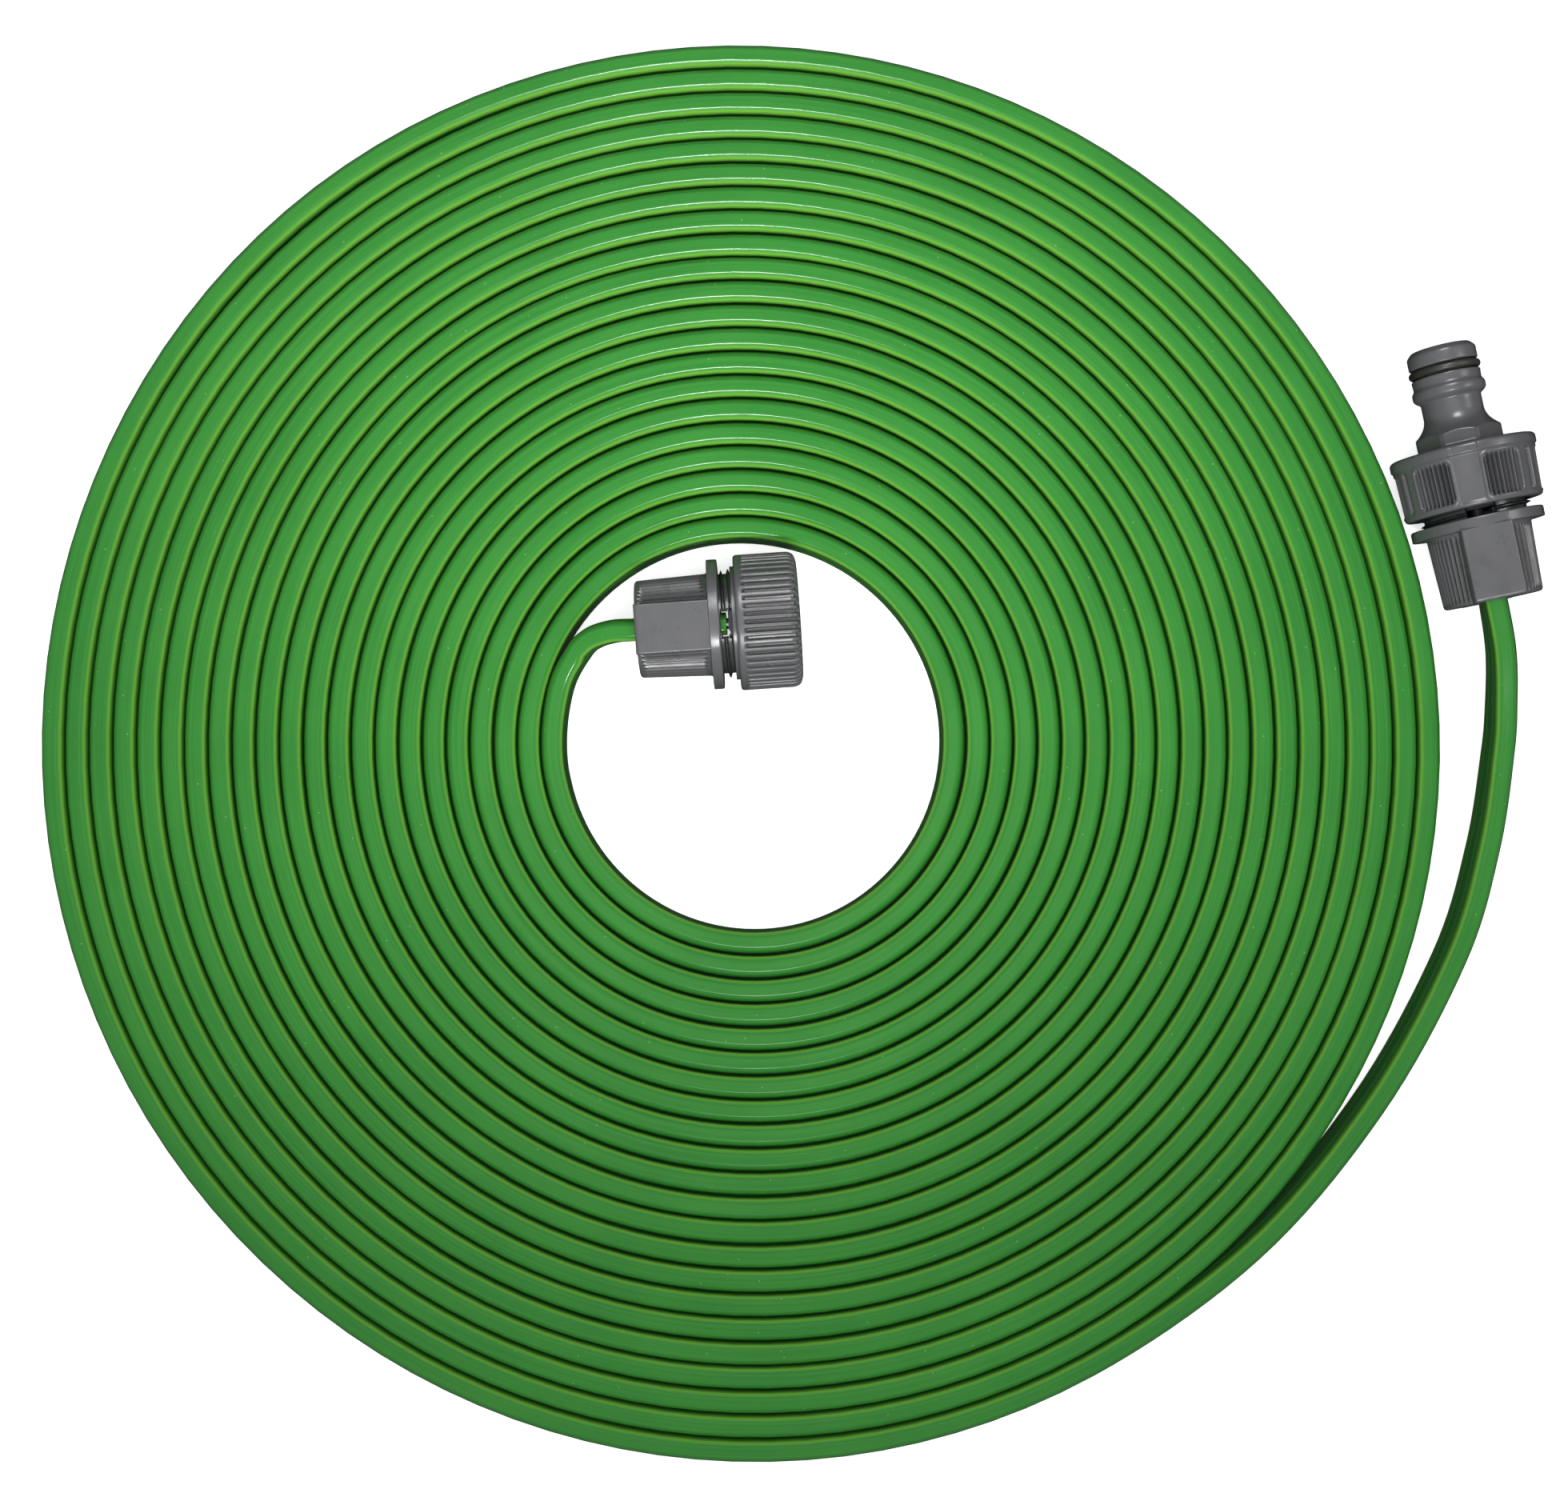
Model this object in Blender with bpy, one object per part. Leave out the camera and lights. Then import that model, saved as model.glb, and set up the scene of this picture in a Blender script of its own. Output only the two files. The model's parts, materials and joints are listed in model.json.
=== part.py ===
"""A flat three-channel soaker hose, wound into a spiral coil, with a fitting on each end.

The hose stands on its edge on the ground.  Its outer end carries the inlet fitting: a
clamp body with a G3/4 thread, on which a tap connector with a quick-coupling nipple is
screwed.  Its inner end carries the same clamp body, closed by a screw cap.
Each fitting is modelled along its own +Z, with the hose entering at z = 0.
"""

import math

import bmesh
import bpy
from mathutils import Matrix, Vector

MM = 0.001
GAP = 0.3 * MM                      # running clearance between neighbouring pieces

# Hose: a flat strip of three channels, standing on its edge.
HOSE_WIDTH = 16.4 * MM
HOSE_THICKNESS = 5.5 * MM
HOSE_EDGE = 1.6 * MM                # chamfer along the hose's edges
CHANNEL_SPACING = 5.4 * MM
CHANNEL_RADIUS = 1.95 * MM

# Coil: turns are counted from +X, counter-clockwise seen from above.
TURN_PITCH = 5.838 * MM
TURN_ZERO_RADIUS = 44.97 * MM
FIRST_TURN = 0.53
LAST_TURN = 21.83
TURN_COUNT = 22
COIL_STEPS = 72                     # points round one turn of the coil's outline
TAIL_STEPS = 4                      # sections between two points of a free end's route
COIL_CENTRE = Vector((-10.46 * MM, 1.10 * MM, 0.0))

# The turns are a little out of round: the shift and the squeeze of the innermost turn,
# and how much each has changed by the outermost one.
SHIFT_X = (-0.23 * MM, 0.34 * MM)
SHIFT_Y = (1.33 * MM, -0.99 * MM)
OVAL_X = (-0.09 * MM, -0.31 * MM)
OVAL_DIAGONAL = (-0.41 * MM, -0.25 * MM)

# Fittings: the place of each hose entry, measured from the coil's centre, its heading, and
# how far the fitting is rolled about its own axis, which twists the hose's free end.
INLET_ENTRY = Vector((181.9 * MM, 35.4 * MM, 17.8 * MM))
INLET_HEADING = math.radians(101.8)
INLET_ROLL = math.radians(-11.0)
END_ENTRY = Vector((-26.9 * MM, 28.3 * MM, 16.9 * MM))
END_HEADING = math.radians(3.9)
END_ROLL = math.radians(4.0)

# Clamp body, the same moulding at both ends.
GRIP_LENGTH = 17.7 * MM
GRIP_REAR_RADIUS = 11.8 * MM
GRIP_FRONT_RADIUS = 12.5 * MM
GRIP_ROUNDING = 0.8 * MM
PAD_HALF_WIDTH = 6.0 * MM
PAD_REAR_REACH = 15.5 * MM
PAD_FRONT_REACH = 15.8 * MM
FLANGE_RADIUS = 15.8 * MM
FLANGE_END = 20.3 * MM
FLANGE_ROUNDING = 0.5 * MM
SEAT_RADIUS = 13.5 * MM             # inner edge of the flange's seat, clear of the thread
RELIEF_DEPTH = 0.15 * MM            # shallow groove between the seat and the thread
THREAD_END = 33.4 * MM
INSERT_BORE = 10.5 * MM
INSERT_SEAT = 22.0 * MM
WINDOW_HALF_WIDTH = 3.6 * MM
WINDOW_END = 26.6 * MM
HOSE_END = 21.7 * MM                # how far the hose reaches into the body

# Thread: G3/4, truncated to leave running clearance.
THREAD_PITCH = 1.814 * MM
MALE_CREST = 13.2 * MM
MALE_ROOT = 12.1 * MM
TOOTH_FOOT = 1.0 * MM
TOOTH_TIP = 0.25 * MM
THREAD_COLUMNS = 28
ROWS_PER_TURN = 4
THREAD_LEAD_IN = 0.2 * MM           # plain length before and after the tooth
FADE_TURNS = 1 / 3                  # part of a turn over which the tooth grows to full height
THREAD_DATUM = 21.0 * MM            # height of the tooth at +X, common to both threads
FEMALE_THREAD_START = 26.2 * MM
FEMALE_THREAD_END = 30.6 * MM
FEMALE_RUN_OUT = 1.5 * THREAD_PITCH
MOUTH_RADIUS = 13.8 * MM
RECESS_RADIUS = 13.7 * MM

# Insert: a cup with three barbed tails, one for each channel of the hose.
INSERT_RADIUS = INSERT_BORE - GAP
INSERT_WALL = 1.6 * MM
INSERT_FLOOR = 2.4 * MM
INSERT_TAB_HALF_WIDTH = 3.0 * MM
INSERT_TAB_REACH = 11.8 * MM
INSERT_TAB_END = 26.0 * MM
BARB_TIP = 10.5 * MM
BARB_SPACING = 2.2 * MM
BARB_COUNT = 3
BARB_RADIUS = 1.62 * MM
BARB_WAIST = 1.32 * MM
BARB_TIP_RADIUS = 1.2 * MM
BARB_BORE = 0.9 * MM
SOCKET_DEPTH = HOSE_END - BARB_TIP + 1.0 * MM

# Flat washer, in front of the clamp body's rim.
WASHER_START = THREAD_END + GAP
WASHER_THICKNESS = 2.2 * MM
WASHER_RADIUS = 13.0 * MM
WASHER_HOLE = 7.0 * MM
CEILING = WASHER_START + WASHER_THICKNESS + GAP

# Tap connector: nut and nipple in one moulding.
NUT_START = 22.8 * MM
NUT_REAR_RADIUS = 16.4 * MM
NUT_FRONT_RADIUS = 16.9 * MM
NUT_RIM_RADIUS = 17.4 * MM
NUT_RIM_START = 35.3 * MM
NUT_RIM_END = 37.4 * MM
NUT_END = 38.0 * MM
COLLAR_RADIUS = 10.1 * MM
COLLAR_END = 42.3 * MM
NECK_START = 47.0 * MM
NECK_END = 50.3 * MM
NECK_RADIUS = 7.2 * MM
RIDGE_START = 51.0 * MM
RIDGE_END = 53.6 * MM
RIDGE_RADIUS = 8.75 * MM
NIPPLE_RADIUS = 8.25 * MM
GROOVE_START = 56.3 * MM
GROOVE_END = 58.9 * MM
GROOVE_RADIUS = 6.6 * MM
NIPPLE_END = 63.2 * MM
NIPPLE_END_RADIUS = 7.2 * MM
WATERWAY_RADIUS = 5.5 * MM
O_RING_THICKNESS = 1.8 * MM
O_RING_RADIUS = 8.55 * MM - O_RING_THICKNESS / 2

# End cap.
CAP_START = 24.2 * MM
CAP_END = 39.8 * MM
CAP_RADIUS = 16.5 * MM
CAP_SHOULDER = 37.6 * MM
CAP_FACE_RADIUS = 14.2 * MM

# How many sides the round pieces have.
LARGE_SIDES = 36
SMALL_SIDES = 12
SHARP_ANGLE = math.radians(35)


# ----------------------------------------------------------------------------- helpers

def clear_scene():
    for thing in list(bpy.data.objects):
        bpy.data.objects.remove(thing, do_unlink=True)


def material(name, colour, roughness):
    """A plastic or rubber of one colour."""
    finish = bpy.data.materials.new(name)
    finish.use_nodes = True
    shader = finish.node_tree.nodes["Principled BSDF"]
    shader.inputs["Base Color"].default_value = (*colour, 1.0)
    shader.inputs["Roughness"].default_value = roughness
    shader.inputs["Metallic"].default_value = 0.0
    return finish


def piece(name, mesh_builder, finish=None, parent=None):
    """An object of its own from a bmesh; without a finish it is a cutter or a union part."""
    bmesh.ops.recalc_face_normals(mesh_builder, faces=mesh_builder.faces)
    mesh = bpy.data.meshes.new(name)
    mesh_builder.to_mesh(mesh)
    mesh_builder.free()
    thing = bpy.data.objects.new(name, mesh)
    bpy.context.scene.collection.objects.link(thing)
    thing.parent = parent
    if finish is None:
        thing.hide_render = True
        thing.display_type = "WIRE"
    else:
        mesh.materials.append(finish)
        mesh.shade_smooth()
        mesh.set_sharp_from_angle(angle=SHARP_ANGLE)
    return thing


def combine(thing, operation, helpers):
    """Add helper objects to a piece (UNION) or cut them away (DIFFERENCE), all at once."""
    group = bpy.data.collections.new(f"{thing.name}_{operation.lower()}")
    for helper in helpers:
        group.objects.link(helper)
    step = thing.modifiers.new(group.name, "BOOLEAN")
    step.operation = operation
    step.solver = "EXACT"
    step.operand_type = "COLLECTION"
    step.collection = group


def loft(rings):
    """A closed solid through rings of points that all have the same count."""
    builder = bmesh.new()
    loops = [[builder.verts.new(point) for point in ring] for ring in rings]
    count = len(loops[0])
    for low, high in zip(loops, loops[1:]):
        for i in range(count):
            j = (i + 1) % count
            builder.faces.new((low[i], low[j], high[j], high[i]))
    builder.faces.new(loops[0])
    builder.faces.new(loops[-1])
    return builder


def turned(outline, sides=LARGE_SIDES):
    """Turn a closed outline of (radius, z) points about Z; a radius of 0 is a pole."""
    builder = bmesh.new()
    columns = []
    poles = {}
    for i in range(sides):
        angle = 2 * math.pi * i / sides
        column = []
        for number, (radius, z) in enumerate(outline):
            if radius == 0:
                if number not in poles:
                    poles[number] = builder.verts.new((0, 0, z))
                column.append(poles[number])
            else:
                x = radius * math.cos(angle)
                y = radius * math.sin(angle)
                column.append(builder.verts.new((x, y, z)))
        columns.append(column)
    count = len(outline)
    for i in range(sides):
        here = columns[i]
        there = columns[(i + 1) % sides]
        for a in range(count):
            b = (a + 1) % count
            corners = [here[a], here[b], there[b], there[a]]
            corners = list(dict.fromkeys(corners))
            if len(corners) > 2:
                builder.faces.new(corners)
    return builder


def block(low, high):
    """A rectangular block between two corners."""
    rings = []
    for z in (low[2], high[2]):
        rings.append([(low[0], low[1], z), (high[0], low[1], z),
                      (high[0], high[1], z), (low[0], high[1], z)])
    return loft(rings)


def threaded_plug(root, crest, foot, tip, start, end, base=()):
    """A solid plug with a right-handed thread between plain ends.

    Base lists the (radius, z) rings below the thread, the lowest of them a flat foot.
    The rows of points climb with the helix, four to a turn: the foot, the two sides of
    the crest and the foot again.  The tooth grows out of the root over the first third
    of a turn and sinks back into it over the last third.
    """
    flank = (foot - tip) / 2
    profile = ((-foot / 2, root), (-tip / 2, crest), (tip / 2, crest), (foot / 2, root))
    lead_in = THREAD_LEAD_IN + foot / 2
    first = THREAD_DATUM
    while first < start + lead_in:
        first += THREAD_PITCH
    turns = int((end - lead_in - first) / THREAD_PITCH)
    rows = turns * ROWS_PER_TURN
    builder = bmesh.new()

    def ring(radius, z):
        points = []
        for i in range(THREAD_COLUMNS):
            angle = 2 * math.pi * i / THREAD_COLUMNS
            x = radius * math.cos(angle)
            y = radius * math.sin(angle)
            points.append(builder.verts.new((x, y, z)))
        return points

    def helix_point(row, column):
        turn, corner = divmod(row, ROWS_PER_TURN)
        travelled = turn + column / THREAD_COLUMNS
        offset, radius = profile[corner]
        growth = min(1.0, travelled / FADE_TURNS, (turns - travelled) / FADE_TURNS)
        radius = root + (radius - root) * max(0.0, growth)
        angle = 2 * math.pi * column / THREAD_COLUMNS
        z = first + THREAD_PITCH * travelled + offset
        return builder.verts.new((radius * math.cos(angle), radius * math.sin(angle), z))

    points = {}
    for row in range(rows):
        for column in range(THREAD_COLUMNS + 1):
            joined = (row - ROWS_PER_TURN, THREAD_COLUMNS)
            if column == 0 and joined in points:
                points[row, 0] = points[joined]
            else:
                points[row, column] = helix_point(row, column)
    for row in range(rows - 1):
        for column in range(THREAD_COLUMNS):
            corners = (points[row, column], points[row, column + 1],
                       points[row + 1, column + 1], points[row + 1, column])
            builder.faces.new(corners)

    base_rings = [ring(radius, z) for radius, z in base]
    low_ring = ring(root, start)
    high_ring = ring(root, end)
    last = rows - 1
    for low, high in zip(base_rings, base_rings[1:] + [low_ring]):
        for column in range(THREAD_COLUMNS):
            following = (column + 1) % THREAD_COLUMNS
            builder.faces.new((low[column], low[following], high[following], high[column]))
    for column in range(THREAD_COLUMNS):
        following = (column + 1) % THREAD_COLUMNS
        low = [low_ring[column], low_ring[following], points[0, column + 1], points[0, column]]
        high = [points[last, column], points[last, column + 1],
                high_ring[following], high_ring[column]]
        if column == THREAD_COLUMNS - 1:
            seam = [points[row, 0] for row in range(ROWS_PER_TURN)]
            low = [low_ring[column], low_ring[following], *seam, points[0, column + 1],
                   points[0, column]]
        if column == 0:
            seam = [points[row, THREAD_COLUMNS] for row in range(last, last - ROWS_PER_TURN, -1)]
            high = [points[last, 0], points[last, 1], high_ring[1], high_ring[0], *seam]
        builder.faces.new(list(dict.fromkeys(low)))
        builder.faces.new(list(dict.fromkeys(high)))
    builder.faces.new(base_rings[0] if base_rings else low_ring)
    builder.faces.new(high_ring)
    return builder


def fitting_frame(name, entry, heading, roll):
    """An empty at a hose entry: Z along the fitting, and Y upward before its roll."""
    axis = Vector((math.cos(heading), math.sin(heading), 0))
    up = Vector((0, 0, 1))
    side = up.cross(axis)
    frame = bpy.data.objects.new(name, None)
    bpy.context.scene.collection.objects.link(frame)
    rotation = Matrix.Rotation(roll, 3, axis) @ Matrix((side, up, axis)).transposed()
    frame.matrix_world = Matrix.Translation(COIL_CENTRE + entry) @ rotation.to_4x4()
    return frame


# -------------------------------------------------------------------------------- hose

def winding_radius(turns):
    """Distance of the hose's middle from the coil's centre after so many turns."""
    angle = 2 * math.pi * turns
    share = turns / TURN_COUNT
    waves = (
        (SHIFT_X, math.cos(angle)),
        (SHIFT_Y, math.sin(angle)),
        (OVAL_X, math.cos(2 * angle)),
        (OVAL_DIAGONAL, math.sin(2 * angle)),
    )
    radius = TURN_ZERO_RADIUS + TURN_PITCH * turns
    for (inner, change), wave in waves:
        radius += (inner + change * share) * wave
    return radius


def winding_point(turns, height=HOSE_WIDTH / 2, offset=0.0):
    """A point beside the hose's middle, measured from the coil's centre."""
    angle = 2 * math.pi * turns
    radius = winding_radius(turns) + offset
    return Vector((radius * math.cos(angle), radius * math.sin(angle), height))


def coil_solid():
    """The coil's outer shape: a thick spiral ring with a step where each end leaves it."""
    half = HOSE_THICKNESS / 2
    levels = ((0.0, HOSE_EDGE), (HOSE_EDGE, 0.0), (HOSE_WIDTH - HOSE_EDGE, 0.0),
              (HOSE_WIDTH, HOSE_EDGE))
    builder = bmesh.new()
    walls = []
    for first, side in ((LAST_TURN - 1, 1), (FIRST_TURN, -1)):
        wall = []
        for height, inset in levels:
            row = []
            for i in range(COIL_STEPS + 1):
                turns = first + i / COIL_STEPS
                point = COIL_CENTRE + winding_point(turns, height, side * (half - inset))
                row.append(builder.verts.new(point))
            wall.append(row)
        walls.append(wall)
        for low, high in zip(wall, wall[1:]):
            for i in range(COIL_STEPS + 1):
                j = (i + 1) % (COIL_STEPS + 1)
                builder.faces.new((low[i], low[j], high[j], high[i]))
    for level in (0, -1):
        edges = []
        for wall in walls:
            row = wall[level]
            for i in range(COIL_STEPS + 1):
                edges.append(builder.edges.get((row[i], row[(i + 1) % (COIL_STEPS + 1)])))
        bmesh.ops.triangle_fill(builder, use_beauty=True, edges=edges, normal=(0, 0, 1))
    return builder


def smooth_route(points, steps):
    """Points on a smooth curve through a route; its first and last points only steer it."""
    route = []
    for before, start, end, after in zip(points, points[1:], points[2:], points[3:]):
        for i in range(steps):
            t = i / steps
            route.append(0.5 * (2 * start + (end - before) * t
                                + (2 * before - 5 * start + 4 * end - after) * t ** 2
                                + (3 * start - before - 3 * end + after) * t ** 3))
    route.append(points[-2])
    return route


def hose_section(place, direction, roll):
    """The hose's eight-sided outline about a point, on edge before its roll."""
    direction = direction.normalized()
    up = Vector((0, 0, 1))
    side = direction.cross(up).normalized()
    up = side.cross(direction)
    twist = Matrix.Rotation(roll, 3, direction)
    side = twist @ side
    up = twist @ up
    half = HOSE_THICKNESS / 2
    tall = HOSE_WIDTH / 2
    corners = (
        (half, -tall + HOSE_EDGE), (half, tall - HOSE_EDGE),
        (half - HOSE_EDGE, tall), (HOSE_EDGE - half, tall),
        (-half, tall - HOSE_EDGE), (-half, -tall + HOSE_EDGE),
        (HOSE_EDGE - half, -tall), (half - HOSE_EDGE, -tall),
    )
    return [COIL_CENTRE + place + side * x + up * y for x, y in corners]


def hose_tail(name, points, frame, roll, finish):
    """A free end of the hose, from the coil into its fitting, with sockets for the barbs.

    It leaves the coil on edge and twists ever faster towards its fitting's roll.
    """
    route = smooth_route(points, TAIL_STEPS)
    at_entry = len(route) - 1 - 2 * TAIL_STEPS
    rings = []
    for i, place in enumerate(route):
        before = route[max(i - 1, 0)]
        after = route[min(i + 1, len(route) - 1)]
        twisted = min(1.0, i / at_entry) ** 2
        rings.append(hose_section(place, after - before, roll * twisted))
    tail = piece(name, loft(rings), finish)
    sockets = []
    for number in (-1, 0, 1):
        outline = ((0, HOSE_END - SOCKET_DEPTH), (CHANNEL_RADIUS, HOSE_END - SOCKET_DEPTH),
                   (CHANNEL_RADIUS, HOSE_END + GAP), (0, HOSE_END + GAP))
        socket = piece(f"{name}_socket_{number + 2}", turned(outline, SMALL_SIDES), parent=frame)
        socket.location = (0, number * CHANNEL_SPACING, 0)
        sockets.append(socket)
    combine(tail, "DIFFERENCE", sockets)
    return tail


def entry_points(entry, heading):
    """The straight stretch of hose inside a fitting, from its entry to the hose's end."""
    axis = Vector((math.cos(heading), math.sin(heading), 0))
    return [entry, entry + axis * HOSE_END / 2, entry + axis * HOSE_END]


def add_hose(inlet_frame, end_frame, finish):
    piece("hose_coil", coil_solid(), finish)
    step = GAP / winding_radius(LAST_TURN) / (2 * math.pi)
    route = [
        winding_point(LAST_TURN - 0.04),
        winding_point(LAST_TURN + step),
        Vector((123.5, -123.5, 8.25)) * MM,
        Vector((153.4, -88.6, 8.3)) * MM,
        Vector((173.7, -52.3, 8.4)) * MM,
        Vector((181.9, -25.0, 9.3)) * MM,
        Vector((184.9, -1.6, 11.7)) * MM,
        Vector((185.2, 10.1, 13.6)) * MM,
        Vector((184.3, 23.0, 16.3)) * MM,
    ]
    route += entry_points(INLET_ENTRY, INLET_HEADING)
    route.append(2 * route[-1] - route[-2])
    hose_tail("hose_inlet_tail", route, inlet_frame, INLET_ROLL, finish)

    step = GAP / winding_radius(FIRST_TURN) / (2 * math.pi)
    route = [
        winding_point(FIRST_TURN + 0.05),
        winding_point(FIRST_TURN - step),
        winding_point(0.49, 8.6 * MM),
        winding_point(0.45, 9.9 * MM),
        Vector((-41.9, 22.7, 12.0)) * MM,
        Vector((-38.1, 26.2, 14.0)) * MM,
        Vector((-32.9, 27.9, 15.9)) * MM,
    ]
    route += entry_points(END_ENTRY, END_HEADING)
    route.append(2 * route[-1] - route[-2])
    hose_tail("hose_end_tail", route, end_frame, END_ROLL, finish)


# ---------------------------------------------------------------------------- fittings

def grip_level(radius, reach, z):
    """One level of the grip: a round barrel with a flat pad over and under the hose."""
    meeting = math.acos(PAD_HALF_WIDTH / radius)
    arc_steps = 10
    points = []
    for middle, sign in ((0.0, 1), (math.pi, -1)):
        for i in range(arc_steps + 1):
            angle = middle + meeting * (2 * i / arc_steps - 1)
            points.append((radius * math.cos(angle), radius * math.sin(angle), z))
        points.append((sign * PAD_HALF_WIDTH, sign * reach, z))
        points.append((-sign * PAD_HALF_WIDTH, sign * reach, z))
    return points


def add_clamp_body(name, frame, finish):
    """Grip, flange and male thread in one moulding, with a slot for the flat hose."""
    flange = (
        (FLANGE_RADIUS - FLANGE_ROUNDING, GRIP_LENGTH),
        (FLANGE_RADIUS, GRIP_LENGTH + FLANGE_ROUNDING),
        (FLANGE_RADIUS, FLANGE_END - FLANGE_ROUNDING),
        (FLANGE_RADIUS - FLANGE_ROUNDING, FLANGE_END),
        (SEAT_RADIUS, FLANGE_END),
        ((SEAT_RADIUS + MALE_ROOT) / 2, FLANGE_END - RELIEF_DEPTH),
    )
    front = threaded_plug(MALE_ROOT, MALE_CREST, TOOTH_FOOT, TOOTH_TIP,
                          FLANGE_END, THREAD_END, flange)
    body = piece(name, front, finish, frame)
    grip = loft([
        grip_level(GRIP_REAR_RADIUS - GRIP_ROUNDING, PAD_REAR_REACH - GRIP_ROUNDING, 0),
        grip_level(GRIP_REAR_RADIUS, PAD_REAR_REACH, GRIP_ROUNDING),
        grip_level(GRIP_FRONT_RADIUS, PAD_FRONT_REACH, GRIP_LENGTH + FLANGE_ROUNDING),
    ])
    combine(body, "UNION", [piece(f"{name}_grip", grip, parent=frame)])

    slot_x = HOSE_THICKNESS / 2 + GAP
    slot_y = HOSE_WIDTH / 2 + GAP
    slot = block((-slot_x, -slot_y, -GAP), (slot_x, slot_y, INSERT_SEAT + GAP))
    bore = turned(((0, INSERT_SEAT), (INSERT_BORE, INSERT_SEAT),
                   (INSERT_BORE, THREAD_END + GAP), (0, THREAD_END + GAP)), THREAD_COLUMNS)
    window = block((-WINDOW_HALF_WIDTH, -FLANGE_RADIUS, FLANGE_END + GAP / 2),
                   (WINDOW_HALF_WIDTH, FLANGE_RADIUS, WINDOW_END))
    combine(body, "DIFFERENCE", [
        piece(f"{name}_slot", slot, parent=frame),
        piece(f"{name}_bore", bore, parent=frame),
        piece(f"{name}_window", window, parent=frame),
    ])
    return body


def barb_outline():
    """Half outline of one barbed tail, from its tip to its root in the insert's floor."""
    points = [(0, BARB_TIP), (BARB_TIP_RADIUS, BARB_TIP)]
    for number in range(BARB_COUNT):
        edge = BARB_TIP + BARB_SPACING * (number + 0.8)
        points.append((BARB_RADIUS, edge))
        points.append((BARB_WAIST, edge + BARB_SPACING * 0.2))
    root = INSERT_SEAT + INSERT_FLOOR / 2
    points.append((BARB_WAIST, root))
    points.append((0, root))
    return points


def add_insert(name, frame, finish):
    """The plug that the hose is pushed on: a cup with three barbed, hollow tails."""
    seat = INSERT_SEAT + GAP
    floor = seat + INSERT_FLOOR
    cup = turned((
        (0, seat), (INSERT_RADIUS, seat), (INSERT_RADIUS, THREAD_END),
        (INSERT_RADIUS - INSERT_WALL, THREAD_END), (INSERT_RADIUS - INSERT_WALL, floor),
        (0, floor),
    ))
    insert = piece(name, cup, finish, frame)
    added = []
    for side in (-1, 1):
        near = side * (INSERT_RADIUS - INSERT_WALL / 2)
        far = side * INSERT_TAB_REACH
        tab = block((-INSERT_TAB_HALF_WIDTH, min(near, far), seat + GAP),
                    (INSERT_TAB_HALF_WIDTH, max(near, far), INSERT_TAB_END))
        added.append(piece(f"{name}_tab_{side + 2}", tab, parent=frame))
    bores = []
    bore_outline = ((0, BARB_TIP - GAP), (BARB_BORE, BARB_TIP - GAP),
                    (BARB_BORE, floor + GAP), (0, floor + GAP))
    for number in (-1, 0, 1):
        tail = piece(f"{name}_tail_{number + 2}", turned(barb_outline(), SMALL_SIDES), parent=frame)
        bore = piece(f"{name}_bore_{number + 2}", turned(bore_outline, SMALL_SIDES), parent=frame)
        for helper in (tail, bore):
            helper.location = (0, number * CHANNEL_SPACING, 0)
        added.append(tail)
        bores.append(bore)
    combine(insert, "UNION", added)
    insert.modifiers.new("flat_faces", "TRIANGULATE")
    combine(insert, "DIFFERENCE", bores)
    return insert


def add_washer(name, frame, finish):
    washer = turned((
        (WASHER_HOLE, WASHER_START), (WASHER_RADIUS, WASHER_START),
        (WASHER_RADIUS, WASHER_START + WASHER_THICKNESS),
        (WASHER_HOLE, WASHER_START + WASHER_THICKNESS),
    ))
    return piece(name, washer, finish, frame)


def female_cutters(name, mouth, frame):
    """What is cut from a nut or a cap: its thread, its mouth and the washer's recess."""
    minor = MALE_ROOT + GAP
    major = MALE_CREST + GAP
    cavity = turned((
        (0, mouth - GAP), (MOUTH_RADIUS, mouth - GAP), (MOUTH_RADIUS, FEMALE_THREAD_START),
        (minor - GAP, FEMALE_THREAD_START + GAP), (minor - GAP, FEMALE_THREAD_END - GAP),
        (RECESS_RADIUS, FEMALE_THREAD_END), (RECESS_RADIUS, CEILING), (0, CEILING),
    ), THREAD_COLUMNS)
    thread = threaded_plug(minor, major, THREAD_PITCH - TOOTH_TIP, THREAD_PITCH - TOOTH_FOOT,
                           FEMALE_THREAD_START - FEMALE_RUN_OUT,
                           FEMALE_THREAD_END + FEMALE_RUN_OUT)
    return [piece(f"{name}_cavity", cavity, parent=frame),
            piece(f"{name}_thread", thread, parent=frame)]


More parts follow.
